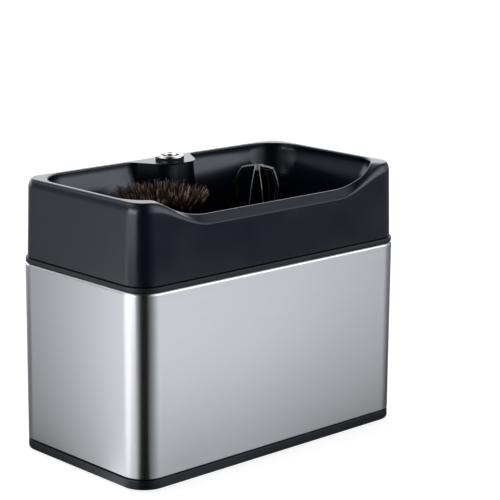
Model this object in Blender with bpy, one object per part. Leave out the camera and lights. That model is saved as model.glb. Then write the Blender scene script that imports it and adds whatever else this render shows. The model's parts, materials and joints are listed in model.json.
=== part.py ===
"""Motor-driven espresso knock box: a steel sleeve on a rubber-footed base, a lift-out grounds bin, and a
lift-off top unit whose gear case turns a bristle brush and a puck scraper from one motor.

Metres, +Z up. The origin is the middle of the footprint at bench height, the low lip faces -Y."""

import math

import bmesh
import bpy
from mathutils import Matrix, Vector

# ---------------------------------------------------------------- driving dimensions
GAP = 0.0003  # clearance between pieces that touch
HALF_LENGTH = 0.115
HALF_WIDTH = 0.0625
CORNER_RADIUS = 0.0164
CORNER_STEPS = 6

FOOT_RADIUS = 0.008
FOOT_STAND_OFF = 0.0012  # how far the feet hold the tray off the bench
FOOT_POCKET = 0.002
FOOT_INSET = 0.0135  # foot and base screw axis, in from both outer faces
TRAY_HEIGHT = 0.0071
TRAY_CHAMFER = 0.0008
BASE_TOP = FOOT_STAND_OFF + TRAY_HEIGHT

SLEEVE_WALL = 0.001
SLEEVE_HEIGHT = 0.1171
SLEEVE_ROLL = 0.0021  # outer radius of the rolled top edge
SLEEVE_LIP = 0.0034  # how far the rolled edge reaches inwards
SLEEVE_FLANGE = 0.018
BALLAST_THICKNESS = 0.003
SLEEVE_BOTTOM = BASE_TOP + GAP
SLEEVE_TOP = SLEEVE_BOTTOM + SLEEVE_HEIGHT
BALLAST_BOTTOM = SLEEVE_BOTTOM + SLEEVE_WALL + GAP
BALLAST_TOP = BALLAST_BOTTOM + BALLAST_THICKNESS

BIN_FLANGE = 0.0027  # thickness of the rim that shows as a thin black band
BIN_WALL = 0.002
BIN_CLEARANCE = 0.0006  # bin wall to the sleeve's rolled edge
BIN_TAPER = 0.003
BIN_FLANGE_INSET = 0.0002
BIN_FLOOR_FILLET = 0.003
BIN_FLANGE_BOTTOM = SLEEVE_TOP + GAP
BIN_FLANGE_TOP = BIN_FLANGE_BOTTOM + BIN_FLANGE

HOUSING_HEIGHT = 0.0507
SKIRT_INSET = 0.0015  # outer face of the housing at its bottom edge
SKIRT_DRAFT = 0.0012  # how much further in the outer face is where the rim rounding starts
SKIRT_WALL = 0.0022
TUB_WALL = 0.002
TUB_INSET = 0.0083  # inner face of the tub at the rim
TUB_RADIUS = 0.025
TUB_DRAFT = 0.002
COLLAR_DEPTH = 0.0113  # how far the tub wall reaches down into the bin
RIM_ROUND_HEIGHT = 0.007
RIM_ROUND_INSET = 0.0027
RIM_EDGE = 0.0006
RIM_THICKNESS = 0.004
LIP_DROP = 0.018  # outer edge of the low front lip, below the rim
LIP_RISE = 0.0052  # inner edge of the lip above its outer edge
LIP_EDGE = 0.0006
LIP_HALF_LENGTH = 0.061
RAMP_END = 0.101
RAMP_STEPS = 5
HOUSING_BOTTOM = BIN_FLANGE_TOP + GAP
RIM_TOP = HOUSING_BOTTOM + HOUSING_HEIGHT
COLLAR_BOTTOM = HOUSING_BOTTOM - COLLAR_DEPTH

PILLAR_DEPTH = 0.0227  # from the tub's back wall to the pillar's nose
PILLAR_FLAT = 0.004
PILLAR_CORNER = 0.014
PILLAR_FILLET = 0.010
PILLAR_FLANK_TURN = math.radians(60)
PILLAR_POST_RADIUS = 0.0035
PILLAR_POST_X = 0.017
PILLAR_SCREW_REACH = 0.008
PILLAR_POST_IN = 0.0042  # post axis in front of the tub's back wall
NOSE_Y = HALF_WIDTH - TUB_INSET - PILLAR_DEPTH

SPINDLE_RADIUS = 0.004
CASE_TOP = HOUSING_BOTTOM + 0.0087
CASE_COVER = 0.004
CASE_WALL = 0.0025
CASE_FLOOR = 0.003
CASE_DEPTH = 0.0187  # inside depth
CASE_GEAR_ROOM = 0.0008
CASE_POST_X = 0.022
CASE_POST_Y = 0.019
CASE_POST_RADIUS = 0.0035
COVER_BOTTOM = CASE_TOP - CASE_COVER
CASE_RIM = COVER_BOTTOM - GAP
ARM_BOTTOM = COVER_BOTTOM + GAP
PAD_BOTTOM = COVER_BOTTOM + 2 * GAP
PAD_TOP = CASE_TOP - GAP / 2
CASE_FLOOR_TOP = CASE_RIM - CASE_DEPTH
CASE_BOTTOM = CASE_FLOOR_TOP - CASE_FLOOR
NECK_HALF_WIDTH = 0.009
ARM_HALF_WIDTH = 0.007
ARM_END_CLEARANCE = 0.001
LEDGE_HEIGHT = 0.009
LEDGE_DEPTH = 0.005

MODULE = 0.00125
PINION_TEETH = 10
IDLER_TEETH = 14
BRUSH_TEETH = 34
SCRAPER_TEETH = 25
GEAR_FACE = 0.008
GEAR_LIFT = 0.003  # gears above the case floor
PRESSURE_ANGLE = math.radians(20)
BACKLASH = 0.0004
TOOTH_TIP = 0.85  # addendum in modules
TOOTH_ROOT = 1.15  # dedendum in modules
IDLER_X = MODULE * (PINION_TEETH + IDLER_TEETH) / 2
BRUSH_X = -IDLER_X - MODULE * (IDLER_TEETH + BRUSH_TEETH) / 2  # brush axis
SCRAPER_X = IDLER_X + MODULE * (IDLER_TEETH + SCRAPER_TEETH) / 2  # scraper axis
IDLER_PIN_RADIUS = 0.002

BUSH_WALL = 0.0017
BUSH_FLANGE = 0.0015
BUSH_FLANGE_RADIUS = 0.0075
BUSH_SOCKET_DEPTH = 0.004  # blind socket below the case floor
SEAL_WALL = 0.002
SEAL_HEIGHT = 0.0034
TURRET_WALL = 0.0022

MOTOR_RADIUS = 0.018
MOTOR_LENGTH = 0.050
MOTOR_CAN_WALL = 0.0012
MOTOR_SHAFT_RADIUS = 0.002
MOTOR_NOSE_RADIUS = 0.006
MOTOR_NOSE_HEIGHT = 0.0025
MOTOR_COVER_WALL = 0.002
MOTOR_COVER_ROOM = 0.001
MOTOR_FLANGE = 0.004

TOOL_LIFT = 0.0013  # tool hubs above the seal turrets
TOOL_PLATE_RADIUS = 0.022
TOOL_PLATE_THICKNESS = 0.005
TOOL_HUB_RADIUS = 0.009
TOOL_HUB_HEIGHT = 0.004
TOOL_SCREW_DEPTH = 0.009
BRISTLE_LENGTH = 0.0215
BRISTLE_TIP_RADIUS = 0.031
CLAW_ARMS = 4
CLAW_TURN = math.radians(40)
CLAW_HEIGHT = 0.0262  # top of the claw above its plate
CLAW_SHOULDER = 0.0086
CLAW_SHOULDER_DROP = 0.0020
CLAW_KNEE_RADIUS = 0.0150
CLAW_KNEE_DROP = 0.0136
CLAW_FOOT_RADIUS = 0.0140
CLAW_THICKNESS = 0.0022
CLAW_TOP_HALF_WIDTH = 0.0018
CLAW_KNEE_HALF_WIDTH = 0.0040
CLAW_FOOT_HALF_WIDTH = 0.0052

BUTTON_SET_BACK = 0.0125  # button axis behind the pillar's nose
BUTTON_Y = NOSE_Y + BUTTON_SET_BACK
BUTTON_FLANGE_RADIUS = 0.0097
BUTTON_FLANGE = 0.0014
BUTTON_GASKET = 0.0017
BUTTON_BARREL_RADIUS = 0.008
BUTTON_BARREL_LENGTH = 0.0215
BUTTON_BORE_RADIUS = 0.0054
BUTTON_MOUTH_RADIUS = 0.0062
BUTTON_MOUTH_DEPTH = 0.0012
BUTTON_BORE_DEPTH = 0.0120
BUTTON_CAP_RADIUS = 0.005
BUTTON_CAP_PROUD = 0.0013
BUTTON_CAP_HEIGHT = 0.0055
BUTTON_CAP_SOCKET = 0.0019
BUTTON_STEM_RADIUS = 0.0025
BUTTON_TRAVEL = 0.0015
BUTTON_NUT = 0.0027
BUTTON_NUT_RADIUS = 0.0096
BUTTON_BLOCK_HEIGHT = 0.007
SPRING_WIRE = 0.0004
SPRING_TURNS = 4

BOARD_LENGTH = 0.024
BOARD_WIDTH = 0.014
BOARD_THICKNESS = 0.0016
BOARD_STANDOFF = 0.0018
BOARD_SET_BACK = 0.0145  # middle of the board behind the pillar's nose
BOARD_Y = NOSE_Y + BOARD_SET_BACK
CHIP_HALF = 0.003
CHIP_HEIGHT = 0.002
INLET_HEIGHT = 0.0170  # DC inlet axis above the housing's bottom edge
INLET_RADIUS = 0.004
INLET_FLANGE_RADIUS = 0.0055
INLET_FLANGE = 0.001
INLET_LENGTH = 0.010
INLET_NUT = 0.0018
WIRE_RADIUS = 0.0012
WIRE_HOLE_RADIUS = 0.0025
WIRE_WELL_Y = 0.0155

SCREW_RADIUS = 0.0015
SCREW_HEAD_RADIUS = 0.0028
SCREW_HEAD = 0.0022
SCREW_SOCKET = 0.0012
SCREW_CLEARANCE = 0.0018
LARGE_ROUND = 24
SMALL_ROUND = 16
FINE_ROUND = 8

# ---------------------------------------------------------------- materials


def material(name, colour, roughness, metallic):
    finish = bpy.data.materials.new(name)
    finish.use_nodes = True
    shader = finish.node_tree.nodes["Principled BSDF"]
    shader.inputs["Base Color"].default_value = (*colour, 1)
    shader.inputs["Roughness"].default_value = roughness
    shader.inputs["Metallic"].default_value = metallic
    return finish


# ---------------------------------------------------------------- modelling helpers


def place(name, mesh, finish, sharp_degrees=35):
    mesh.shade_smooth()
    mesh.set_sharp_from_angle(angle=math.radians(sharp_degrees))
    mesh.materials.append(finish)
    piece = bpy.data.objects.new(name, mesh)
    bpy.context.scene.collection.objects.link(piece)
    return piece


def skin(name, rings, finish, closed=False):
    """A solid through rings of points: the ends are capped, or joined to each other when closed."""
    solid = bmesh.new()
    loops = [[solid.verts.new(point) for point in ring] for ring in rings]
    pairs = list(zip(loops, loops[1:]))
    if closed:
        pairs.append((loops[-1], loops[0]))
    else:
        solid.faces.new(loops[0])
        solid.faces.new(loops[-1])
    for first, second in pairs:
        for i in range(len(first)):
            j = (i + 1) % len(first)
            solid.faces.new((first[i], first[j], second[j], second[i]))
    bmesh.ops.recalc_face_normals(solid, faces=solid.faces)
    mesh = bpy.data.meshes.new(name)
    solid.to_mesh(mesh)
    solid.free()
    return place(name, mesh, finish)


def circle(radius, z, steps, x=0.0, y=0.0):
    turns = [2 * math.pi * i / steps for i in range(steps)]
    return [Vector((x + radius * math.cos(a), y + radius * math.sin(a), z)) for a in turns]


def turned(name, profile, finish, x=0.0, y=0.0, steps=SMALL_ROUND, bored=False):
    """A turned piece from (radius, z) pairs; bored joins the last pair to the first round a bore."""
    rings = [circle(radius, z, steps, x, y) for radius, z in profile]
    return skin(name, rings, finish, closed=bored)


def tube_profile(inner, outer, low, high):
    return [(outer, low), (outer, high), (inner, high), (inner, low)]


def extruded(name, outline, low, high, finish):
    rings = [[Vector((x, y, z)) for x, y in outline] for z in (low, high)]
    return skin(name, rings, finish)


def cylinder(radius, low, high, x=0.0, y=0.0, steps=SMALL_ROUND):
    return turned("guide", [(radius, low), (radius, high)], GUIDE, x, y, steps)


def hole(radius, low, high, x=0.0, y=0.0):
    return cylinder(radius, low, high, x, y, FINE_ROUND)


def block(low_corner, high_corner):
    (x0, y0, z0), (x1, y1, z1) = low_corner, high_corner
    return extruded("guide", [(x0, y0), (x1, y0), (x1, y1), (x0, y1)], z0, z1, GUIDE)


def shape(piece, tools, operation):
    """Adds or cuts all the tools with one Boolean, and keeps them as hidden guides."""
    guides = bpy.data.collections.new(f"{piece.name} {operation.lower()}")
    for tool in tools:
        guides.objects.link(tool)
        tool.hide_render = True
        tool.display_type = "WIRE"
    step = piece.modifiers.new(operation.lower(), "BOOLEAN")
    step.operation = operation
    step.solver = "EXACT"
    step.operand_type = "COLLECTION"
    step.collection = guides
    return piece


def rounded_rectangle(half_x, half_y, radius, steps=CORNER_STEPS):
    outline = []
    for quarter, (side_x, side_y) in enumerate([(1, 1), (-1, 1), (-1, -1), (1, -1)]):
        for i in range(steps + 1):
            angle = math.pi / 2 * (quarter + i / steps)
            x = side_x * (half_x - radius) + radius * math.cos(angle)
            y = side_y * (half_y - radius) + radius * math.sin(angle)
            outline.append((x, y))
    return outline


def capsule(radius, steps=LARGE_ROUND):
    """The plan outline of the case: round about the brush axis and about the scraper axis."""
    half = steps // 2
    turns = [math.pi * (i / half - 0.5) for i in range(half + 1)]
    right = [(SCRAPER_X + radius * math.cos(a), radius * math.sin(a)) for a in turns]
    left = [(BRUSH_X - radius * math.cos(a), -radius * math.sin(a)) for a in turns]
    return right + left


def box_ring(inset, z, radius=None):
    """The plan outline of the box, moved in by inset, at height z."""
    corner = max(CORNER_RADIUS - inset, CORNER_RADIUS / 4) if radius is None else radius
    outline = rounded_rectangle(HALF_LENGTH - inset, HALF_WIDTH - inset, corner)
    return [Vector((x, y, z)) for x, y in outline]


def corners(x, y):
    return [(side_x * x, side_y * y) for side_y in (-1, 1) for side_x in (-1, 1)]


def screw(name, x, y, seat, tip):
    """A socket-head screw whose head sits on seat and whose shank ends at tip, above or below it."""
    way = 1 if seat > tip else -1
    top = seat + way * SCREW_HEAD
    profile = [
        (SCREW_RADIUS, tip),
        (SCREW_RADIUS, seat),
        (SCREW_HEAD_RADIUS, seat),
        (SCREW_HEAD_RADIUS, top),
        (SCREW_SOCKET, top),
        (SCREW_SOCKET, top - way * SCREW_HEAD / 2),
    ]
    return turned(name, profile, STEEL, x, y, FINE_ROUND)


# ---------------------------------------------------------------- base and sleeve


def make_base():
    bottom = FOOT_STAND_OFF
    tray_rings = [
        box_ring(TRAY_CHAMFER, bottom),
        box_ring(0, bottom + TRAY_CHAMFER),
        box_ring(0, BASE_TOP - TRAY_CHAMFER / 2),
        box_ring(TRAY_CHAMFER / 2, BASE_TOP),
    ]
    tray = skin("base_tray", tray_rings, PLASTIC)
    pocket_top = bottom + FOOT_POCKET
    head_seat = pocket_top + SCREW_HEAD + 2 * GAP
    places = corners(HALF_LENGTH - FOOT_INSET, HALF_WIDTH - FOOT_INSET)
    cutters = []
    for x, y in places:
        cutters.append(cylinder(FOOT_RADIUS + GAP, -GAP, pocket_top, x, y))
        cutters.append(cylinder(SCREW_HEAD_RADIUS + GAP, pocket_top - GAP, head_seat, x, y))
        cutters.append(hole(SCREW_CLEARANCE, head_seat - GAP, BASE_TOP + GAP, x, y))
    shape(tray, cutters, "DIFFERENCE")

    ballast_inset = SLEEVE_WALL + 2 * GAP
    ballast = skin(
        "ballast_plate",
        [box_ring(ballast_inset, BALLAST_BOTTOM), box_ring(ballast_inset, BALLAST_TOP)],
        STEEL,
    )
    holes = [
        hole(SCREW_RADIUS + GAP, BALLAST_BOTTOM - GAP, BALLAST_TOP + GAP, x, y)
        for x, y in places
    ]
    shape(ballast, holes, "DIFFERENCE")

    for number, (x, y) in enumerate(places, 1):
        foot_top = pocket_top - GAP
        foot = [
            (FOOT_RADIUS - TRAY_CHAMFER, 0),
            (FOOT_RADIUS, TRAY_CHAMFER),
            (FOOT_RADIUS, foot_top),
        ]
        turned(f"rubber_foot_{number}", foot, RUBBER, x, y)
        screw(f"base_screw_{number}", x, y, head_seat - GAP, BALLAST_TOP - GAP)


def make_sleeve():
    roll_start = SLEEVE_TOP - SLEEVE_ROLL
    inner_roll = SLEEVE_ROLL - SLEEVE_WALL
    quarter = [math.pi / 2 * i / 3 for i in range(4)]
    outside = [
        (SLEEVE_ROLL * (1 - math.cos(a)), roll_start + SLEEVE_ROLL * math.sin(a)) for a in quarter
    ]
    inside = [
        (SLEEVE_ROLL - inner_roll * math.cos(a), roll_start + inner_roll * math.sin(a))
        for a in reversed(quarter)
    ]
    section = [
        (0, SLEEVE_BOTTOM),
        *outside,
        (SLEEVE_LIP, SLEEVE_TOP),
        (SLEEVE_LIP, SLEEVE_TOP - SLEEVE_WALL),
        *inside,
        (SLEEVE_WALL, SLEEVE_BOTTOM + SLEEVE_WALL),
        (SLEEVE_FLANGE, SLEEVE_BOTTOM + SLEEVE_WALL),
        (SLEEVE_FLANGE, SLEEVE_BOTTOM),
    ]
    sleeve = skin("steel_sleeve", [box_ring(*point) for point in section], BRUSHED, closed=True)
    holes = [
        hole(SCREW_CLEARANCE, SLEEVE_BOTTOM - GAP, BALLAST_BOTTOM, x, y)
        for x, y in corners(HALF_LENGTH - FOOT_INSET, HALF_WIDTH - FOOT_INSET)
    ]
    shape(sleeve, holes, "DIFFERENCE")


def make_bin():
    outer = SLEEVE_LIP + BIN_CLEARANCE
    floor = BALLAST_TOP + GAP
    edge = BIN_FLANGE / 6
    outside = [
        (outer + BIN_TAPER + BIN_FLOOR_FILLET, floor),
        (outer + BIN_TAPER, floor + BIN_FLOOR_FILLET),
        (outer, BIN_FLANGE_BOTTOM),
        (BIN_FLANGE_INSET, BIN_FLANGE_BOTTOM),
        (BIN_FLANGE_INSET, BIN_FLANGE_TOP - edge),
        (BIN_FLANGE_INSET + edge, BIN_FLANGE_TOP),
    ]
    inner = outer + BIN_WALL
    inside = [
        (inner, BIN_FLANGE_TOP),
        (inner + BIN_TAPER, floor + BIN_WALL + BIN_FLOOR_FILLET),
        (inner + BIN_TAPER + BIN_FLOOR_FILLET, floor + BIN_WALL),
    ]
    skin("grounds_bin", [box_ring(*point) for point in outside + inside], LINER)


# ---------------------------------------------------------------- top housing


def reach(base, way, inset, radius):
    """How far the rounded outline at this inset lies from base, along way."""
    core_x = HALF_LENGTH - inset - radius
    core_y = HALF_WIDTH - inset - radius

    def outside(distance):
        x = abs(base[0] + way[0] * distance) - core_x
        y = abs(base[1] + way[1] * distance) - core_y
        corner = math.hypot(max(x, 0), max(y, 0))
        return corner + min(max(x, y), 0) > radius

    near, far = 0.0, HALF_LENGTH
    for _ in range(40):
        middle = (near + far) / 2
        near, far = (near, middle) if outside(middle) else (middle, far)
    return near


def pillar_path(back, nose):
    """Plan points of the pillar from +X to -X, between the back wall at back and its nose."""
    offset = nose - NOSE_Y
    fillet, corner = PILLAR_FILLET + offset, PILLAR_CORNER - offset
    turn = PILLAR_FLANK_TURN
    flank = (back - nose - (fillet + corner) * (1 - math.cos(turn))) / math.sin(turn)
    half = PILLAR_FLAT + (fillet + corner) * math.sin(turn) + flank * math.cos(turn)
    right = []
    for i in range(4):
        angle = math.pi / 2 + turn * i / 3
        right.append((half + fillet * math.cos(angle), back - fillet + fillet * math.sin(angle)))
    for i in range(5):
        angle = turn * (1 - i / 4) - math.pi / 2
        right.append((PILLAR_FLAT + corner * math.cos(angle), nose + corner + corner * math.sin(angle)))
    left = [(-x, y) for x, y in reversed(right)]
    return right + left


def rim_stations():
    """Rays from inside the tub to its wall, in order round the plan; the pillar's are numbered."""
    core_x = HALF_LENGTH - TUB_INSET - TUB_RADIUS
    core_y = HALF_WIDTH - TUB_INSET - TUB_RADIUS
    outer_x = HALF_LENGTH - CORNER_RADIUS - core_x
    outer_y = HALF_WIDTH - CORNER_RADIUS - core_y
    first = math.atan2(outer_y, HALF_LENGTH - core_x)
    last = math.atan2(HALF_WIDTH - core_y, outer_x)
    fan = [0, first * 0.45, first * 0.8]
    fan += [first + (last - first) * i / CORNER_STEPS for i in range(CORNER_STEPS + 1)]
    fan += [math.pi / 2 - a for a in (first * 0.8, first * 0.45, 0)]
    middle_back = pillar_path(HALF_WIDTH - TUB_INSET, NOSE_Y)
    ramp = [core_x - (core_x - LIP_HALF_LENGTH) * i / RAMP_STEPS for i in range(1, RAMP_STEPS + 1)]
    side_back = (core_x + middle_back[0][0]) / 2

    def corner(side_x, side_y, quarter):
        centre = (side_x * core_x, side_y * core_y)
        return [(centre, (math.cos(a), math.sin(a)), None) for a in (quarter + f for f in fan)]

    stations = corner(1, 1, 0)
    stations.append(((side_back, core_y), (0, 1), None))
    stations += [((x, core_y), (0, 1), i) for i, (x, _) in enumerate(middle_back)]
    stations.append(((-side_back, core_y), (0, 1), None))
    stations += corner(-1, 1, math.pi / 2)
    stations += corner(-1, -1, math.pi)
    stations += [((-x, -core_y), (0, -1), None) for x in ramp]
    stations += [((x, -core_y), (0, -1), None) for x in reversed(ramp)]
    stations += corner(1, -1, 3 * math.pi / 2)
    return stations


def lip_share(station):
    """0 on the high rim, 1 on the low front lip, smooth over the two ramps."""
    (x, y), (way_x, way_y), _ = station
    if way_y >= 0:
        return 0.0
    distance = reach((x, y), (way_x, way_y), 0, CORNER_RADIUS)
    along = (RAMP_END - abs(x + way_x * distance)) / (RAMP_END - LIP_HALF_LENGTH)
    along = min(max(along, 0.0), 1.0)
    return along * along * (3 - 2 * along)


def housing_section():
    """Pairs of (inset, z) for the high rim and for the low lip, with plan radius and pillar offset."""
    lip_top = RIM_TOP - LIP_DROP
    skirt_top = SKIRT_INSET + SKIRT_DRAFT
    lip_wall = SKIRT_INSET + SKIRT_DRAFT * 0.7
    round_start = RIM_TOP - RIM_ROUND_HEIGHT
    rows = [((SKIRT_INSET, HOUSING_BOTTOM), (SKIRT_INSET, HOUSING_BOTTOM), None, None)]
    for i in range(4):
        angle = math.pi / 2 * i / 3
        inset = skirt_top + RIM_ROUND_INSET * (1 - math.cos(angle))
        z = round_start + RIM_ROUND_HEIGHT * math.sin(angle)
        lip_inset = lip_wall + LIP_EDGE * (1 - math.cos(angle))
        lip_z = lip_top - LIP_EDGE * (1 - math.sin(angle))
        rows.append(((inset, z), (lip_inset, lip_z), None, None))
    lip_inner = lip_top + LIP_RISE
    edge = RIM_EDGE
    for inward, down in ((edge, 0), (edge / 4, edge / 4), (0, edge)):
        inset = TUB_INSET - inward
        rows.append(((inset, RIM_TOP - down), (inset, lip_inner - down), TUB_RADIUS, -inward))
    foot = TUB_INSET + TUB_DRAFT
    hidden = TUB_INSET - TUB_WALL
    hidden_radius = TUB_RADIUS + TUB_WALL
    rim_ceiling = RIM_TOP - RIM_THICKNESS
    lip_ceiling = lip_top - RIM_THICKNESS
    skirt_in = SKIRT_INSET + SKIRT_WALL
    inner_foot = (foot, COLLAR_BOTTOM)
    hidden_foot = (foot - TUB_WALL, COLLAR_BOTTOM)
    skirt_foot = (skirt_in, HOUSING_BOTTOM)
    rows += [
        (inner_foot, inner_foot, TUB_RADIUS, -TUB_DRAFT),
        (hidden_foot, hidden_foot, hidden_radius, TUB_WALL - TUB_DRAFT),
        ((hidden, rim_ceiling), (hidden, lip_ceiling), hidden_radius, TUB_WALL),
        ((skirt_top + SKIRT_WALL, rim_ceiling), (lip_wall + SKIRT_WALL, lip_ceiling), None, None),
        (skirt_foot, skirt_foot, None, None),
    ]
    return rows


def housing_ring(row, stations):
    (rim_inset, rim_z), (lip_inset, lip_z), radius, pillar = row
    points = []
    for station in stations:
        base, way, number = station
        share = lip_share(station)
        inset = rim_inset + (lip_inset - rim_inset) * share
        z = rim_z + (lip_z - rim_z) * share
        if number is not None and pillar is not None:
            x, y = pillar_path(HALF_WIDTH - inset, NOSE_Y + pillar)[number]
            if z == COLLAR_BOTTOM:
                z = CASE_TOP + GAP
        else:
            corner = CORNER_RADIUS - inset if radius is None else radius
            distance = reach(base, way, inset, corner)
            x, y = base[0] + way[0] * distance, base[1] + way[1] * distance
        points.append(Vector((x, y, z)))
    return points


def pillar_post_places():
    y = HALF_WIDTH - TUB_INSET - PILLAR_POST_IN
    return [(-PILLAR_POST_X, y), (PILLAR_POST_X, y)]


def tub_inset_at(z):
    """How far the tub's inner face is in from the outer outline at height z."""
    share = (RIM_TOP - z) / (RIM_TOP - COLLAR_BOTTOM)
    return TUB_INSET + TUB_DRAFT * share


def make_housing():
    stations = rim_stations()
    rings = [housing_ring(row, stations) for row in housing_section()]
    housing = skin("top_housing", rings, PLASTIC, closed=True)
    ceiling = RIM_TOP - RIM_THICKNESS
    foot = CASE_TOP + GAP
    posts = [cylinder(PILLAR_POST_RADIUS, foot + GAP, ceiling + GAP, x, y) for x, y in pillar_post_places()]
    ledge_top = ARM_BOTTOM - GAP
    wall_x = HALF_LENGTH - tub_inset_at(ledge_top)
    ledges = []
    for side in (-1, 1):
        ends = sorted((side * (wall_x + TUB_WALL / 2), side * (wall_x - LEDGE_DEPTH)))
        low = (ends[0], -ARM_HALF_WIDTH, ledge_top - LEDGE_HEIGHT)
        ledges.append(block(low, (ends[1], ARM_HALF_WIDTH, ledge_top)))
    shape(housing, posts + ledges, "UNION")
    pilot_top = foot + PILLAR_SCREW_REACH + GAP
    pilots = [hole(SCREW_RADIUS + GAP, foot - GAP, pilot_top, x, y) for x, y in pillar_post_places()]
    button_hole = cylinder(BUTTON_BARREL_RADIUS + GAP, ceiling - GAP, RIM_TOP + GAP, 0, BUTTON_Y)
    inlet_hole = cylinder(INLET_RADIUS + GAP, 0, 3 * SKIRT_WALL)
    inlet_axis = Matrix.Translation((0, HALF_WIDTH, HOUSING_BOTTOM + INLET_HEIGHT))
    inlet_hole.matrix_world = inlet_axis @ Matrix.Rotation(math.pi / 2, 4, "X")
    shape(housing, pilots + [button_hole, inlet_hole], "DIFFERENCE")


# ---------------------------------------------------------------- gear case


def make_gear_case():
    radius = MODULE * (BRUSH_TEETH / 2 + TOOTH_TIP) + CASE_GEAR_ROOM
    outer = radius + CASE_WALL
    outline_out = capsule(outer)
    outline_in = capsule(radius)
    rings = [
        [Vector((x, y, CASE_BOTTOM)) for x, y in outline_out],
        [Vector((x, y, CASE_RIM)) for x, y in outline_out],
        [Vector((x, y, CASE_RIM)) for x, y in outline_in],
        [Vector((x, y, CASE_FLOOR_TOP)) for x, y in outline_in],
    ]
    case = skin("gear_case", rings, DARK_PLASTIC)
    bush_hole = SPINDLE_RADIUS + GAP + BUSH_WALL + GAP
    socket_bottom = CASE_BOTTOM - BUSH_SOCKET_DEPTH
    post_places = corners(CASE_POST_X, CASE_POST_Y)
    neck_end = NOSE_Y + PILLAR_CORNER
    boss_bottom = socket_bottom - CASE_WALL
    boss_top = CASE_FLOOR_TOP - CASE_FLOOR / 3
    adds = [cylinder(bush_hole + CASE_WALL, boss_bottom, boss_top, x) for x in (BRUSH_X, SCRAPER_X)]
    adds += [cylinder(CASE_POST_RADIUS, boss_top, CASE_RIM - GAP, x, y) for x, y in post_places]
    neck_low = (-NECK_HALF_WIDTH, radius, CASE_BOTTOM + GAP)
    adds.append(block(neck_low, (NECK_HALF_WIDTH, neck_end, CASE_RIM - GAP)))
    shape(case, adds, "UNION")
    under, over = CASE_BOTTOM - GAP, CASE_FLOOR_TOP + GAP
    pin_floor = CASE_BOTTOM + CASE_FLOOR / 3
    cuts = [cylinder(bush_hole, socket_bottom, over, x) for x in (BRUSH_X, SCRAPER_X)]
    cuts += [hole(SCREW_CLEARANCE, under, CASE_RIM + GAP, x, y) for x, y in post_places]
    cuts += [hole(IDLER_PIN_RADIUS + GAP, pin_floor, over, x) for x in (-IDLER_X, IDLER_X)]
    cuts.append(cylinder(MOTOR_NOSE_RADIUS + GAP, under, over))
    cuts.append(hole(WIRE_HOLE_RADIUS, under, over, 0, WIRE_WELL_Y))
    channel = NECK_HALF_WIDTH - CASE_WALL
    channel_low = (-channel, radius - CASE_WALL, CASE_FLOOR_TOP + GAP)
    cuts.append(block(channel_low, (channel, neck_end - CASE_WALL, CASE_RIM + GAP)))
    shape(case, cuts, "DIFFERENCE")


def pad_outline():
    """The cover's rear pad, which closes the pillar from below."""
    back = HALF_WIDTH - tub_inset_at(CASE_TOP)
    rear = HALF_WIDTH - SKIRT_INSET - SKIRT_DRAFT - SKIRT_WALL - ARM_END_CLEARANCE
    path = pillar_path(back, NOSE_Y - TUB_DRAFT / 2)
    return [(path[-1][0], rear)] + list(reversed(path)) + [(path[0][0], rear)]


def wire_place():
    return NOSE_Y + PILLAR_CORNER / 2


def make_case_cover():
    outer = MODULE * (BRUSH_TEETH / 2 + TOOTH_TIP) + CASE_GEAR_ROOM + CASE_WALL
    cover = extruded("gear_case_cover", capsule(outer), COVER_BOTTOM, CASE_TOP, DARK_PLASTIC)
    arm_x = HALF_LENGTH - tub_inset_at(COVER_BOTTOM) - ARM_END_CLEARANCE
    low, high = ARM_BOTTOM, CASE_TOP - GAP
    arms = block((-arm_x, -ARM_HALF_WIDTH, low), (arm_x, ARM_HALF_WIDTH, high))
    neck_end = NOSE_Y + PILLAR_CORNER
    neck = block((-NECK_HALF_WIDTH, outer - CASE_POST_RADIUS, low), (NECK_HALF_WIDTH, neck_end, high))
    pad = extruded("guide", pad_outline(), PAD_BOTTOM, PAD_TOP, GUIDE)
    bush_hole = SPINDLE_RADIUS + GAP + BUSH_WALL + GAP
    pocket = SPINDLE_RADIUS + GAP + SEAL_WALL + BUSH_WALL + GAP
    turret_top = CASE_TOP + SEAL_HEIGHT + 2 * GAP
    stations = (BRUSH_X, SCRAPER_X)
    inside, under, over = CASE_TOP - CASE_COVER / 3, COVER_BOTTOM - GAP, CASE_TOP + GAP
    posts = corners(CASE_POST_X, CASE_POST_Y)
    board_x = BOARD_LENGTH / 3
    standoff_top = CASE_TOP + BOARD_STANDOFF
    adds = [arms, neck, pad]
    adds += [cylinder(pocket + TURRET_WALL, inside, turret_top, x) for x in stations]
    adds += [cylinder(CASE_POST_RADIUS, inside, CASE_TOP + CASE_COVER, x, y) for x, y in posts]
    adds += [hole(PILLAR_POST_RADIUS / 2, inside, standoff_top, x, BOARD_Y) for x in (-board_x, board_x)]
    shape(cover, adds, "UNION")
    pin_top = COVER_BOTTOM + CASE_COVER / 2
    cuts = [cylinder(bush_hole, under, over, x) for x in stations]
    cuts += [cylinder(pocket, CASE_TOP + GAP / 3, turret_top + GAP, x) for x in stations]
    cuts += [hole(SCREW_RADIUS + GAP, under, CASE_TOP + CASE_COVER / 2, x, y) for x, y in posts]
    cuts += [hole(IDLER_PIN_RADIUS + GAP, under, pin_top, x) for x in (-IDLER_X, IDLER_X)]
    cuts += [hole(SCREW_CLEARANCE, under, over, x, y) for x, y in pillar_post_places()]
    cuts.append(hole(WIRE_HOLE_RADIUS, under, over, 0, wire_place()))
    shape(cover, cuts, "DIFFERENCE")
    for number, (x, y) in enumerate(pillar_post_places(), 1):
        screw(f"pillar_screw_{number}", x, y, PAD_BOTTOM - GAP, CASE_TOP + GAP + PILLAR_SCREW_REACH)


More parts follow.
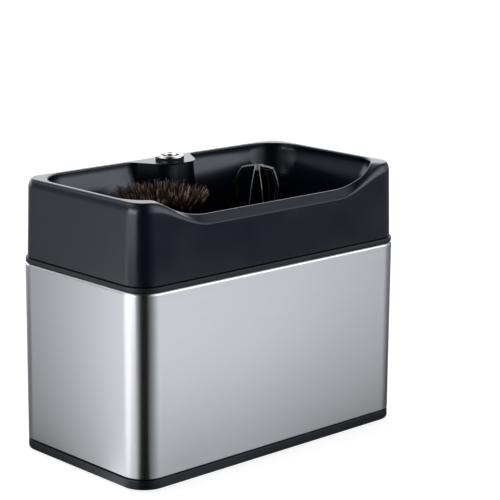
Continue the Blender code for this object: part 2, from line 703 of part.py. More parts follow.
def make_bearings():
    bore = SPINDLE_RADIUS + GAP
    barrel = bore + BUSH_WALL
    flange_seat = CASE_FLOOR_TOP + GAP
    for x, station in ((BRUSH_X, "brush"), (SCRAPER_X, "scraper")):
        lower = [
            (barrel, CASE_BOTTOM - BUSH_SOCKET_DEPTH + GAP),
            (barrel, flange_seat),
            (BUSH_FLANGE_RADIUS, flange_seat),
            (BUSH_FLANGE_RADIUS, flange_seat + BUSH_FLANGE),
            (bore, flange_seat + BUSH_FLANGE),
            (bore, CASE_BOTTOM - BUSH_SOCKET_DEPTH + GAP),
        ]
        turned(f"{station}_lower_bush", lower, BRONZE, x, bored=True)
        upper = [
            (BUSH_FLANGE_RADIUS, COVER_BOTTOM - GAP - BUSH_FLANGE),
            (BUSH_FLANGE_RADIUS, COVER_BOTTOM - GAP),
            (barrel, COVER_BOTTOM - GAP),
            (barrel, CASE_TOP),
            (bore, CASE_TOP),
            (bore, COVER_BOTTOM - GAP - BUSH_FLANGE),
        ]
        turned(f"{station}_upper_bush", upper, BRONZE, x, bored=True)
        seal = tube_profile(bore, barrel + SEAL_WALL, CASE_TOP + GAP, CASE_TOP + GAP + SEAL_HEIGHT)
        turned(f"{station}_shaft_seal", seal, RUBBER, x, bored=True)


# ---------------------------------------------------------------- gears


def gear_outline(teeth, turn):
    """Involute teeth, each with its root, pitch and tip points on both flanks."""
    pitch = MODULE * teeth / 2
    base = pitch * math.cos(PRESSURE_ANGLE)

    def involute(angle):
        return math.tan(angle) - angle

    def half_angle(radius):
        pressure = math.acos(min(base / radius, 1.0))
        half_pitch = (math.pi / 2 - BACKLASH / MODULE) / teeth
        return half_pitch + involute(PRESSURE_ANGLE) - involute(pressure)

    levels = [pitch - TOOTH_ROOT * MODULE, pitch, pitch + TOOTH_TIP * MODULE]
    if teeth > IDLER_TEETH:
        levels.remove(pitch)  # flanks this long and shallow are almost straight
    outline = []
    for tooth in range(teeth):
        middle = turn + 2 * math.pi * tooth / teeth
        for radius, side in [(r, -1) for r in levels] + [(r, 1) for r in reversed(levels)]:
            angle = middle + side * half_angle(radius)
            outline.append((radius * math.cos(angle), radius * math.sin(angle)))
    return outline


def make_gear(name, teeth, x, bore, finish, turn=0.0, hub=None):
    """A gear in the case; hub is its (radius, low, high), when it has one."""
    low = CASE_FLOOR_TOP + GEAR_LIFT
    high = low + GEAR_FACE
    outline = [(x + tooth_x, tooth_y) for tooth_x, tooth_y in gear_outline(teeth, turn)]
    gear = extruded(name, outline, low, high, finish)
    if hub:
        radius, low, high = hub
        shape(gear, [cylinder(radius, low, high, x)], "UNION")
    shape(gear, [cylinder(bore, low - GAP, high + GAP, x)], "DIFFERENCE")


def make_gears():
    half_pitch = math.pi / IDLER_TEETH
    make_gear("motor_pinion", PINION_TEETH, 0, MOTOR_SHAFT_RADIUS + GAP, BRONZE)
    pin_low = CASE_BOTTOM + CASE_FLOOR / 3 + GAP
    pin_high = COVER_BOTTOM + CASE_COVER / 2 - GAP
    for x, name in ((-IDLER_X, "brush_idler"), (IDLER_X, "scraper_idler")):
        make_gear(f"{name}_gear", IDLER_TEETH, x, IDLER_PIN_RADIUS + GAP, NYLON, half_pitch)
        turned(f"{name}_pin", [(IDLER_PIN_RADIUS, pin_low), (IDLER_PIN_RADIUS, pin_high)], STEEL, x)
    hub_low = CASE_FLOOR_TOP + BUSH_FLANGE + 2 * GAP
    hub_high = COVER_BOTTOM - BUSH_FLANGE - 2 * GAP
    hub = (BUSH_FLANGE_RADIUS, hub_low, hub_high)
    bore = SPINDLE_RADIUS + GAP
    make_gear("brush_gear", BRUSH_TEETH, BRUSH_X, bore, NYLON, hub=hub)
    tooth_to_idler = math.pi / SCRAPER_TEETH  # an odd count needs half a pitch
    make_gear("scraper_gear", SCRAPER_TEETH, SCRAPER_X, bore, NYLON, tooth_to_idler, hub)


# ---------------------------------------------------------------- motor


def make_motor():
    top = CASE_BOTTOM - GAP
    bottom = top - MOTOR_LENGTH
    wall = MOTOR_CAN_WALL
    bore = MOTOR_SHAFT_RADIUS + GAP
    cap_top = bottom + 2 * wall
    can = [
        (MOTOR_RADIUS, cap_top),
        (MOTOR_RADIUS, top),
        (MOTOR_NOSE_RADIUS, top),
        (MOTOR_NOSE_RADIUS, top + MOTOR_NOSE_HEIGHT),
        (bore, top + MOTOR_NOSE_HEIGHT),
        (bore, top - wall),
        (MOTOR_RADIUS - wall, top - wall),
        (MOTOR_RADIUS - wall, cap_top),
    ]
    turned("motor_can", can, STEEL, steps=LARGE_ROUND, bored=True)
    rim = MOTOR_RADIUS - wall - GAP
    boss_top = cap_top + 4 * wall
    cap = [
        (MOTOR_RADIUS, bottom),
        (MOTOR_RADIUS, cap_top - GAP),
        (rim, cap_top - GAP),
        (rim, cap_top + wall),
        (MOTOR_NOSE_RADIUS, cap_top + wall),
        (MOTOR_NOSE_RADIUS, boss_top),
        (bore, boss_top),
        (bore, bottom + wall),
    ]
    turned("motor_end_cap", cap, DARK_PLASTIC, steps=LARGE_ROUND)
    shaft_top = CASE_FLOOR_TOP + GEAR_LIFT + GEAR_FACE + 2 * GAP
    turned("motor_shaft", [(MOTOR_SHAFT_RADIUS, bottom + wall + GAP), (MOTOR_SHAFT_RADIUS, shaft_top)], STEEL)
    core = MOTOR_RADIUS - 3 * wall
    winding_low = boss_top + 2 * wall
    winding_high = top - 4 * wall
    armature = [
        (core * 0.7, winding_low),
        (core, winding_low + 3 * wall),
        (core, winding_high - 3 * wall),
        (core * 0.7, winding_high),
        (bore, winding_high),
        (bore, winding_low),
    ]
    turned("motor_armature", armature, COPPER, steps=SMALL_ROUND, bored=True)

    room = MOTOR_RADIUS + MOTOR_COVER_ROOM
    shell = room + MOTOR_COVER_WALL
    floor = bottom - GAP
    ear = CASE_POST_RADIUS
    flange = rounded_rectangle(CASE_POST_X + ear, CASE_POST_Y + ear, ear, CORNER_STEPS // 2)
    cover = extruded("motor_cover", flange, top - MOTOR_FLANGE, top, DARK_PLASTIC)
    cup = [
        (shell - MOTOR_COVER_WALL, floor - MOTOR_COVER_WALL),
        (shell, floor),
        (shell, top - MOTOR_FLANGE / 2),
    ]
    shape(cover, [turned("guide", cup, GUIDE, steps=LARGE_ROUND)], "UNION")
    cuts = [cylinder(room, floor, top + GAP, steps=LARGE_ROUND)]
    places = corners(CASE_POST_X, CASE_POST_Y)
    cuts += [hole(SCREW_CLEARANCE, top - 2 * MOTOR_FLANGE, top + GAP, x, y) for x, y in places]
    shape(cover, cuts, "DIFFERENCE")
    for number, (x, y) in enumerate(places, 1):
        screw(f"case_screw_{number}", x, y, top - MOTOR_FLANGE - GAP, CASE_TOP + CASE_COVER / 2 - GAP)


# ---------------------------------------------------------------- brush and scraper


def tool_bottom():
    return CASE_TOP + SEAL_HEIGHT + 2 * GAP + TOOL_LIFT


def plate_top():
    return tool_bottom() + TOOL_HUB_HEIGHT + TOOL_PLATE_THICKNESS


def make_spindle(name, x):
    foot = CASE_BOTTOM - BUSH_SOCKET_DEPTH + GAP
    top = plate_top() - TOOL_PLATE_THICKNESS / 2
    edge = SPINDLE_RADIUS / 8
    profile = [
        (SPINDLE_RADIUS - edge, foot),
        (SPINDLE_RADIUS, foot + edge),
        (SPINDLE_RADIUS, top - edge),
        (SPINDLE_RADIUS - edge, top),
        (SCREW_RADIUS + GAP, top),
        (SCREW_RADIUS + GAP, top - TOOL_SCREW_DEPTH),
    ]
    turned(name, profile, STEEL, x)


def make_tool_plate(name, x, finish):
    """Hub and plate on the spindle's end, with a pilot hole for the tool screw."""
    bottom, top = tool_bottom(), plate_top()
    spindle_top = top - TOOL_PLATE_THICKNESS / 2
    bore = SPINDLE_RADIUS + GAP
    edge = TOOL_PLATE_THICKNESS / 6
    profile = [
        (TOOL_HUB_RADIUS, bottom),
        (TOOL_HUB_RADIUS, bottom + TOOL_HUB_HEIGHT),
        (TOOL_PLATE_RADIUS, bottom + TOOL_HUB_HEIGHT),
        (TOOL_PLATE_RADIUS, top - edge),
        (TOOL_PLATE_RADIUS - edge, top),
        (SCREW_CLEARANCE, top),
        (SCREW_CLEARANCE, spindle_top + GAP),
        (bore, spindle_top + GAP),
        (bore, bottom),
    ]
    return turned(name, profile, finish, x, steps=LARGE_ROUND, bored=True)


def make_brush():
    x = BRUSH_X
    make_spindle("brush_spindle", x)
    make_tool_plate("brush_plate", x, DARK_PLASTIC)
    root = plate_top() + GAP
    tip = root + BRISTLE_LENGTH
    hollow = SCREW_HEAD_RADIUS + 4 * GAP
    tuft_root = TOOL_PLATE_RADIUS - TOOL_PLATE_THICKNESS / 4
    splay = BRISTLE_TIP_RADIUS - tuft_root
    profile = [
        (tuft_root, root),
        (tuft_root + splay * 0.35, root + BRISTLE_LENGTH * 0.45),
        (BRISTLE_TIP_RADIUS, tip - BRISTLE_LENGTH * 0.12),
        (BRISTLE_TIP_RADIUS - splay * 0.3, tip),
        (BRISTLE_TIP_RADIUS * 0.55, tip - BRISTLE_LENGTH * 0.08),
        (BRISTLE_TIP_RADIUS * 0.3, tip - BRISTLE_LENGTH * 0.3),
        (hollow, root + BRISTLE_LENGTH * 0.4),
        (hollow, root),
    ]
    turned("brush_bristles", profile, BRISTLE, x, steps=LARGE_ROUND, bored=True)
    seat = plate_top() + GAP
    screw("brush_screw", x, 0, seat, plate_top() - TOOL_PLATE_THICKNESS / 2 - TOOL_SCREW_DEPTH + 2 * GAP)


def claw_arm(x, turn, top, foot):
    """One bent arm: a flat shoulder, a flaring slope to the knee, then a shank down to the plate."""
    thick = CLAW_THICKNESS
    outside = [
        (0.0, top, CLAW_TOP_HALF_WIDTH),
        (CLAW_SHOULDER, top - CLAW_SHOULDER_DROP, CLAW_TOP_HALF_WIDTH),
        (CLAW_KNEE_RADIUS, top - CLAW_KNEE_DROP, CLAW_KNEE_HALF_WIDTH),
        (CLAW_FOOT_RADIUS, foot, CLAW_FOOT_HALF_WIDTH),
    ]
    inside = [
        (CLAW_FOOT_RADIUS - thick, foot, CLAW_FOOT_HALF_WIDTH),
        (CLAW_KNEE_RADIUS - thick, top - CLAW_KNEE_DROP, CLAW_KNEE_HALF_WIDTH),
        (CLAW_SHOULDER - thick, top - CLAW_SHOULDER_DROP - thick, CLAW_TOP_HALF_WIDTH),
        (0.0, top - thick, CLAW_TOP_HALF_WIDTH),
    ]
    pose = Matrix.Translation((x, 0, 0)) @ Matrix.Rotation(turn, 4, "Z")
    sections = outside + inside
    rings = [[pose @ Vector((r, side * half, z)) for r, z, half in sections] for side in (-1, 1)]
    return skin("guide", rings, GUIDE)


def make_scraper():
    x = SCRAPER_X
    make_spindle("scraper_spindle", x)
    make_tool_plate("scraper_plate", x, DARK_PLASTIC)
    foot = plate_top() + GAP
    top = plate_top() + CLAW_HEIGHT
    column = CLAW_SHOULDER * 0.6
    claw = turned("scraper_claw", [(column, foot), (column * 0.8, top - GAP)], GLOSS, x)
    arms = [claw_arm(x, CLAW_TURN + 2 * math.pi * i / CLAW_ARMS, top, foot) for i in range(CLAW_ARMS)]
    shape(claw, arms, "UNION")
    screw_well = top - SCREW_HEAD * 2
    cuts = [
        hole(SCREW_CLEARANCE, foot - GAP, top + GAP, x, 0),
        hole(SCREW_HEAD_RADIUS + GAP, screw_well, top + GAP, x, 0),
    ]
    shape(claw, cuts, "DIFFERENCE")
    tip = plate_top() - TOOL_PLATE_THICKNESS / 2 - TOOL_SCREW_DEPTH + 2 * GAP
    screw("scraper_screw", x, 0, screw_well + GAP, tip)


# ---------------------------------------------------------------- power button and electrics


def make_button():
    y = BUTTON_Y
    gasket_low = RIM_TOP + GAP
    gasket_high = gasket_low + BUTTON_GASKET
    flange_low = gasket_high + GAP
    flange_top = flange_low + BUTTON_FLANGE
    barrel_low = flange_low - BUTTON_BARREL_LENGTH
    bore_floor = flange_top - BUTTON_BORE_DEPTH
    gasket = tube_profile(BUTTON_BARREL_RADIUS + GAP, BUTTON_FLANGE_RADIUS, gasket_low, gasket_high)
    turned("button_gasket", gasket, RUBBER, 0, y, LARGE_ROUND, bored=True)
    stem_hole = BUTTON_STEM_RADIUS + 2 * GAP
    edge = BUTTON_FLANGE / 3
    bezel = [
        (BUTTON_BARREL_RADIUS, barrel_low),
        (BUTTON_BARREL_RADIUS, flange_low),
        (BUTTON_FLANGE_RADIUS, flange_low),
        (BUTTON_FLANGE_RADIUS, flange_top - edge),
        (BUTTON_FLANGE_RADIUS - edge, flange_top),
        (BUTTON_MOUTH_RADIUS, flange_top),
        (BUTTON_MOUTH_RADIUS, flange_top - BUTTON_MOUTH_DEPTH),
        (BUTTON_BORE_RADIUS, flange_top - BUTTON_MOUTH_DEPTH),
        (BUTTON_BORE_RADIUS, bore_floor),
        (stem_hole, bore_floor),
        (stem_hole, barrel_low),
    ]
    turned("button_bezel", bezel, CHROME, 0, y, LARGE_ROUND, bored=True)
    nut_top = RIM_TOP - RIM_THICKNESS - GAP
    nut = tube_profile(BUTTON_BARREL_RADIUS + GAP, BUTTON_NUT_RADIUS, nut_top - BUTTON_NUT, nut_top)
    turned("button_nut", nut, CHROME, 0, y, SMALL_ROUND, bored=True)
    block_top = barrel_low - GAP
    contact = [
        (BUTTON_BARREL_RADIUS * 0.7, block_top - BUTTON_BLOCK_HEIGHT),
        (BUTTON_BARREL_RADIUS * 0.7, block_top - BUTTON_BLOCK_HEIGHT / 2),
        (BUTTON_BARREL_RADIUS, block_top - BUTTON_BLOCK_HEIGHT / 2),
        (BUTTON_BARREL_RADIUS, block_top),
    ]
    turned("button_contact_block", contact, DARK_PLASTIC, 0, y)
    cap_top = flange_top + BUTTON_CAP_PROUD
    cap_low = cap_top - BUTTON_CAP_HEIGHT
    stem_low = barrel_low + BUTTON_TRAVEL + GAP
    cap_edge = BUTTON_CAP_PROUD / 2
    cap = [
        (BUTTON_STEM_RADIUS, stem_low),
        (BUTTON_STEM_RADIUS, cap_low),
        (BUTTON_CAP_RADIUS, cap_low),
        (BUTTON_CAP_RADIUS, cap_top - cap_edge),
        (BUTTON_CAP_RADIUS - cap_edge, cap_top),
        (BUTTON_CAP_SOCKET, cap_top),
        (BUTTON_CAP_SOCKET, cap_top - BUTTON_CAP_PROUD),
    ]
    turned("button_cap", cap, CHROME, 0, y, SMALL_ROUND)
    coil_radius = (BUTTON_STEM_RADIUS + BUTTON_BORE_RADIUS) / 2
    make_spring(coil_radius, bore_floor + GAP + SPRING_WIRE, cap_low - GAP - SPRING_WIRE, y)


def make_spring(radius, low, high, y):
    per_turn = 10
    count = SPRING_TURNS * per_turn
    path = []
    for i in range(count + 1):
        angle = 2 * math.pi * i / per_turn
        path.append((radius * math.cos(angle), y + radius * math.sin(angle), low + (high - low) * i / count))
    make_wire("button_spring", path, SPRING_WIRE, STEEL, 0)


def make_wire(name, path, radius, finish, roundness=1):
    curve = bpy.data.curves.new(name, "CURVE")
    curve.dimensions = "3D"
    curve.bevel_depth = radius
    curve.bevel_resolution = roundness
    curve.use_fill_caps = True
    spline = curve.splines.new("POLY")
    spline.points.add(len(path) - 1)
    for point, place_at in zip(spline.points, path):
        point.co = (*place_at, 1)
    curve.materials.append(finish)
    wire = bpy.data.objects.new(name, curve)
    bpy.context.scene.collection.objects.link(wire)


def make_electrics():
    low = CASE_TOP + BOARD_STANDOFF + GAP
    half = BOARD_LENGTH / 2
    outline = [
        (-half, BOARD_Y - BOARD_WIDTH / 2),
        (half, BOARD_Y - BOARD_WIDTH / 2),
        (half, BOARD_Y + BOARD_WIDTH / 2),
        (-half, BOARD_Y + BOARD_WIDTH / 2),
    ]
    board = extruded("control_board", outline, low, low + BOARD_THICKNESS, BOARD)
    chip_low, chip_high = low + GAP, low + BOARD_THICKNESS + CHIP_HEIGHT
    chips = []
    for x in (-BOARD_LENGTH / 4, BOARD_LENGTH / 4):
        corner = (x - CHIP_HALF, BOARD_Y - CHIP_HALF, chip_low)
        chips.append(block(corner, (x + CHIP_HALF, BOARD_Y + CHIP_HALF, chip_high)))
    shape(board, chips, "UNION")

    z = HOUSING_BOTTOM + INLET_HEIGHT
    share = INLET_HEIGHT / (HOUSING_HEIGHT - RIM_ROUND_HEIGHT)
    wall_out = HALF_WIDTH - SKIRT_INSET - SKIRT_DRAFT * (share - INLET_FLANGE_RADIUS / HOUSING_HEIGHT)
    wall_in = wall_out - SKIRT_WALL - SKIRT_DRAFT * 2 * INLET_FLANGE_RADIUS / HOUSING_HEIGHT
    seat = wall_out + GAP
    turn = Matrix.Translation((0, seat, z)) @ Matrix.Rotation(-math.pi / 2, 4, "X")
    profile = [
        (INLET_RADIUS, -INLET_LENGTH),
        (INLET_RADIUS, 0),
        (INLET_FLANGE_RADIUS, 0),
        (INLET_FLANGE_RADIUS, INLET_FLANGE),
        (INLET_RADIUS * 0.7, INLET_FLANGE),
        (INLET_RADIUS * 0.7, -INLET_LENGTH * 0.8),
        (INLET_RADIUS * 0.25, -INLET_LENGTH * 0.8),
        (INLET_RADIUS * 0.25, -INLET_FLANGE),
    ]
    inlet = turned("dc_inlet", profile, DARK_PLASTIC)
    inlet.matrix_world = turn
    nut_out = seat - wall_in + GAP
    nut = turned(
        "dc_inlet_nut",
        tube_profile(INLET_RADIUS + GAP, INLET_FLANGE_RADIUS, -nut_out - INLET_NUT, -nut_out),
        STEEL,
        bored=True,
    )
    nut.matrix_world = turn

    y = wire_place()
    low_run = CASE_FLOOR_TOP + 2 * WIRE_RADIUS
    path = [
        (0, y, low - GAP - WIRE_RADIUS / 2),
        (0, y, COVER_BOTTOM),
        (0, y, low_run + 4 * WIRE_RADIUS),
        (0, y - WIRE_RADIUS, low_run + 2 * WIRE_RADIUS),
        (0, y - 3 * WIRE_RADIUS, low_run),
        (0, WIRE_WELL_Y + 3 * WIRE_RADIUS, low_run),
        (0, WIRE_WELL_Y + WIRE_RADIUS, low_run - WIRE_RADIUS / 2),
        (0, WIRE_WELL_Y, low_run - 2 * WIRE_RADIUS),
        (0, WIRE_WELL_Y, CASE_BOTTOM),
    ]
    make_wire("motor_wire", path, WIRE_RADIUS, RUBBER)


# ---------------------------------------------------------------- the whole object

for old in list(bpy.data.objects):
    bpy.data.objects.remove(old, do_unlink=True)

GUIDE = material("guide", (0.5, 0.5, 0.5), 0.5, 0)
PLASTIC = material("black_abs", (0.028, 0.031, 0.037), 0.42, 0)
DARK_PLASTIC = material("filled_nylon", (0.012, 0.012, 0.013), 0.5, 0)
LINER = material("black_liner", (0.02, 0.02, 0.022), 0.45, 0)
GLOSS = material("gloss_scraper", (0.008, 0.008, 0.009), 0.2, 0)
RUBBER = material("black_rubber", (0.015, 0.015, 0.015), 0.75, 0)
BRUSHED = material("brushed_stainless", (0.62, 0.63, 0.65), 0.3, 1)
STEEL = material("plated_steel", (0.5, 0.5, 0.52), 0.35, 1)
CHROME = material("polished_stainless", (0.75, 0.75, 0.74), 0.15, 1)
BRONZE = material("sintered_bronze", (0.45, 0.28, 0.13), 0.45, 1)
COPPER = material("copper_winding", (0.55, 0.24, 0.11), 0.4, 1)
NYLON = material("acetal", (0.75, 0.73, 0.68), 0.4, 0)
BRISTLE = material("dark_bristle", (0.035, 0.022, 0.016), 0.8, 0)
BOARD = material("circuit_board", (0.02, 0.13, 0.05), 0.5, 0)

make_base()
make_sleeve()
make_bin()
make_housing()
make_gear_case()
make_case_cover()
make_bearings()
make_gears()
make_motor()
make_brush()
make_scraper()
make_button()
make_electrics()
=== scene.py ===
# %% [markdown]
# # A motor-driven espresso knock box
# The real thing is a brushed steel box with a lift-out bin inside and a black plastic top unit.
# In the top unit a bristle brush (left) and a claw (right) turn to clean a filter basket.
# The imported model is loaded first. It gives every size and place that the pieces below use.

# %% Load the frame
import json
import math
import random

import bmesh
import bpy
from mathutils import Matrix, Vector


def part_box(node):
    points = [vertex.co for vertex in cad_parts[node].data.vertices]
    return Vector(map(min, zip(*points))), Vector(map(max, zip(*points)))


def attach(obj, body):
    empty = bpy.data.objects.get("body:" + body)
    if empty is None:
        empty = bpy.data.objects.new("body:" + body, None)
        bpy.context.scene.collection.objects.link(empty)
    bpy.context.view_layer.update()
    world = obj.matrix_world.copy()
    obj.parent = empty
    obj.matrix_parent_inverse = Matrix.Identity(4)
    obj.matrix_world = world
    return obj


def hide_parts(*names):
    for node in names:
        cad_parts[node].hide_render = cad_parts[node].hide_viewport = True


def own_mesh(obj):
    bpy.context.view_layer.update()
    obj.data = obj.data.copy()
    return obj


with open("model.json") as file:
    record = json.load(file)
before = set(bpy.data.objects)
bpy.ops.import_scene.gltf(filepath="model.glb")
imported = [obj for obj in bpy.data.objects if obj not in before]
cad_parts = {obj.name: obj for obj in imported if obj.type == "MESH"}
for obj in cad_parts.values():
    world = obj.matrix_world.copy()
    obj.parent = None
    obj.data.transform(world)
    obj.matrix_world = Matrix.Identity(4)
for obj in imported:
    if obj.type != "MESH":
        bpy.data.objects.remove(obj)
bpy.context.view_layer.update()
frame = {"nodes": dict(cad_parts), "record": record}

MM = 0.001

# %% [markdown]
# ## Camera
# A long lens from the front left corner, a little above the rim, looking down about 13 degrees.
# The camera is turned about Z, tilted about X and rolled about its own axis, in that order.

# %% Camera
LENS = 130.2
CAMERA_PLACE = (-0.77994, -0.86037, 0.39704)
CAMERA_TURN = math.radians(-43.38)
CAMERA_TILT = math.radians(90 - 13.16)
CAMERA_ROLL = math.radians(0.51)

lens = bpy.data.cameras.new("lens")
lens.lens = LENS
lens.sensor_width = 36
camera = bpy.data.objects.new("camera", lens)
bpy.context.scene.collection.objects.link(camera)
turn = Matrix.Rotation(CAMERA_TURN, 4, "Z") @ Matrix.Rotation(CAMERA_TILT, 4, "X")
camera.matrix_world = Matrix.Translation(CAMERA_PLACE) @ turn @ Matrix.Rotation(CAMERA_ROLL, 4, "Z")
bpy.context.scene.camera = camera
bpy.context.scene.view_settings.view_transform = "Standard"
print("camera with a", LENS, "mm lens at", CAMERA_PLACE)

# %% [markdown]
# ## Colours and shader nodes
# Colours are written as the hex values a paint program shows. A shader works in linear light, so
# one function turns them. A second small function adds a shader node with its settings and links.


# %% Colour and node helpers
def linear(hex_colour):
    channels = [int(hex_colour[i : i + 2], 16) / 255 for i in (1, 3, 5)]
    return tuple(c / 12.92 if c <= 0.04045 else ((c + 0.055) / 1.055) ** 2.4 for c in channels) + (1,)


def add(tree, kind, settings=None, **inputs):
    """Adds a node, sets its settings, and fills or links inputs by name, or as i0, i1 by number."""
    node = tree.nodes.new(kind)
    for key, value in (settings or {}).items():
        setattr(node, key, value)
    for key, value in inputs.items():
        numbered = key[0] == "i" and key[1:].isdigit()
        socket = node.inputs[int(key[1:]) if numbered else key.replace("_", " ")]
        if isinstance(value, bpy.types.NodeSocket):
            tree.links.new(value, socket)
        else:
            socket.default_value = value
    return node


def finish(name, colour, roughness, metallic=0.0):
    """A new material with its shader, whose plain values are on the shader's own sockets."""
    material = bpy.data.materials.new(name)
    material.use_nodes = True
    tree = material.node_tree
    shader = tree.nodes["Principled BSDF"]
    shader.inputs["Base Color"].default_value = linear(colour)
    shader.inputs["Roughness"].default_value = roughness
    shader.inputs["Metallic"].default_value = metallic
    return material, tree, shader


print("white is", linear("#FFFFFF"))

# %% [markdown]
# ## Floor and light
# The box stands on a pale floor under one very soft light from above and a tall soft box at its
# left. A studio shapes what steel mirrors with cards: pale card where a face should be pale, black
# card where a corner should go dark. One large card lies on the floor here. It is painted by its
# direction from the box and its distance, and only mirror reflections see it. The room behind it is
# painted by direction too: one ring of strengths low down, another higher up, and dark overhead, so
# that faces which look up stay dark. All other rays see a plain, weak white room.

# %% Floor
FLOOR_WIDE, FLOOR_Z = 16, -0.0002
PAPER_GLOW = 0.88

bpy.ops.object.select_all(action="DESELECT")
bpy.ops.mesh.primitive_plane_add(size=FLOOR_WIDE, location=(0, 0, FLOOR_Z))
floor = bpy.context.object
floor.name = "floor"
paper, tree, shader = finish("matt_white_paper", "#808080", 0.95)
shader.inputs["Emission Color"].default_value = linear("#FFFFFF")
shader.inputs["Emission Strength"].default_value = PAPER_GLOW
floor.data.materials.append(paper)


# %% Reflection card and the room
BRIGHTEST = 3.0
# Each ring lists (degrees from +X, strength): the card at the box's foot, near it and far out,
# then the room beyond the card, low down and higher up.
FOOT_CARD = (
    (-180, 0.56), (-171, 0.42), (-157, 0.52), (-148, 0.08), (-143, 0.0), (-115, 0.0), (-109, 0.19),
    (-93, 0.28), (-70, 0.42), (-60, 0.43), (-45, 0.36), (-31, 0.39), (-20, 0.39), (-14, 0.24), (0, 0.02),
    (60, 0.3), (100, 0.12), (112, 0.35), (118, 0.54), (127, 0.66), (133, 0.90), (138, 1.20), (150, 1.34),
    (168, 1.10), (180, 0.56),
)
NEAR_CARD = (
    (-180, 0.44), (-171, 0.34), (-156, 0.80), (-148, 0.16), (-143, 0.0), (-113, 0.0), (-106, 0.22),
    (-88, 0.48), (-62, 1.46), (-49, 1.54), (-40, 1.46), (-34, 1.30), (-30, 0.56), (-16, 0.32), (0, 0.18),
    (60, 0.6), (108, 0.10), (118, 0.18), (122, 0.64), (127, 1.22), (130, 1.72), (134, 2.05), (150, 1.45),
    (168, 1.10), (180, 0.44),
)
FAR_CARD = (
    (-180, 0.0), (-169, 0.0), (-154, 0.0), (-140, 0.0), (-98, 0.0), (-87, 0.0), (-60, 0.0),
    (-48, 0.0), (-40, 0.02), (-34, 0.16), (-24, 0.30), (0, 0.20), (60, 0.50), (100, 0.36), (119, 0.55),
    (126, 0.76), (131, 0.95), (138, 1.9), (147, 2.3), (153, 1.0), (160, 0.05), (180, 0.0),
)
ROOM = (
    (-180, 0.15), (-171, 0.20), (-156, 0.34), (-148, 0.08), (-143, 0.0), (-113, 0.0), (-106, 0.25),
    (-96, 0.8), (-85, 1.7), (-72, 3.0), (-60, 3.7), (-45, 3.7), (-38, 2.8), (-30, 1.5), (0, 0.30),
    (20, 0.6), (38, 1.8), (60, 1.9), (80, 2.2), (104, 2.2), (114, 0.3), (122, 0.34), (131, 0.40),
    (150, 0.50), (160, 0.40), (170, 0.22), (180, 0.15),
)
HIGH_ROOM = (
    (-180, 0.50), (-156, 0.30), (-146, 0.0), (-112, 0.0), (-100, 0.4), (-80, 1.6), (-60, 2.0), (-48, 1.6),
    (-40, 1.1), (-30, 0.8), (-22, 0.3), (8, 0.6), (24, 2.6), (55, 2.2), (85, 0.8), (112, 0.5), (127, 2.0),
    (150, 2.2), (168, 1.2), (180, 0.50),
)
# distances from the box, in metres, over which one ring of the card gives way to the next
FOOT_TO_NEAR, NEAR_TO_FAR, CARD_TO_ROOM = (0.05, 0.50), (0.47, 0.58), (2.0, 3.5)
# the same in the room, as the upward share of a ray's direction
LOW_TO_HIGH, HIGH_TO_DARK = (0.28, 0.42), (0.60, 0.92)
DARKEST = 0.02
CARD_TINT = (0.94, 0.965, 1.0)
CARD_WIDE, CARD_Z = 12, -0.0001
HALF_BOX = (0.115, 0.0625)
# the rings fan out from the axis of the box's front left corner
NEAR_CORNER = (-0.098, -0.046)
# a place's distance is its gap to the box's faces over this share, or its distance from the
# corner where that is less
LEAN_OUT = 0.72
MATT_ROOM = 0.35


def by_direction(tree, x, y, stops):
    """Strength from the direction of (x, y): stops are (degrees from +X, strength)."""
    angle = add(tree, "ShaderNodeMath", {"operation": "ARCTAN2"}, i0=y, i1=x)
    share = add(tree, "ShaderNodeMapRange", Value=angle.outputs[0], From_Min=-math.pi, From_Max=math.pi)
    ramp = add(tree, "ShaderNodeValToRGB", Fac=share.outputs[0])
    marks = ramp.color_ramp.elements
    for i, (degrees, strength) in enumerate(stops):
        place = (degrees + 180) / 360
        mark = marks[0] if i == 0 else marks[len(marks) - 1] if i == len(stops) - 1 else marks.new(place)
        mark.position = place
        mark.color = [strength / BRIGHTEST * tint for tint in CARD_TINT] + [1]
    return ramp.outputs["Color"]


bpy.ops.mesh.primitive_plane_add(size=CARD_WIDE, location=(0, 0, CARD_Z))
card = bpy.context.object
card.name = "reflection_card"
painted, tree, shader = finish("painted_card", "#000000", 1.0)
tree.nodes.remove(shader)
spot = add(tree, "ShaderNodeTexCoord")
corner = (-NEAR_CORNER[0], -NEAR_CORNER[1], 0)
fan = add(tree, "ShaderNodeMapping", Vector=spot.outputs["Object"], Location=corner)
plan = add(tree, "ShaderNodeSeparateXYZ", Vector=fan.outputs[0])
foot, near, far, distant = (
    by_direction(tree, plan.outputs["X"], plan.outputs["Y"], stops)
    for stops in (FOOT_CARD, NEAR_CARD, FAR_CARD, ROOM)
)
radial = add(tree, "ShaderNodeVectorMath", {"operation": "LENGTH"}, i0=fan.outputs[0])
folded = add(tree, "ShaderNodeVectorMath", {"operation": "ABSOLUTE"}, i0=spot.outputs["Object"])
clear = add(tree, "ShaderNodeVectorMath", {"operation": "SUBTRACT"}, i0=folded.outputs[0], i1=(*HALF_BOX, 0))
gaps = add(tree, "ShaderNodeSeparateXYZ", Vector=clear.outputs[0])
widest = add(tree, "ShaderNodeMath", {"operation": "MAXIMUM"}, i0=gaps.outputs["X"], i1=gaps.outputs["Y"])
slant = add(tree, "ShaderNodeMath", {"operation": "DIVIDE"}, i0=widest.outputs[0], i1=LEAN_OUT)
away = add(tree, "ShaderNodeMath", {"operation": "MINIMUM"}, i0=slant.outputs[0], i1=radial.outputs["Value"])
rise = add(
    tree, "ShaderNodeMapRange",
    Value=away.outputs[0], From_Min=FOOT_TO_NEAR[0], From_Max=FOOT_TO_NEAR[1],
)
soft = {"interpolation_type": "SMOOTHSTEP"}
beyond = add(
    tree, "ShaderNodeMapRange", soft,
    Value=away.outputs[0], From_Min=NEAR_TO_FAR[0], From_Max=NEAR_TO_FAR[1],
)
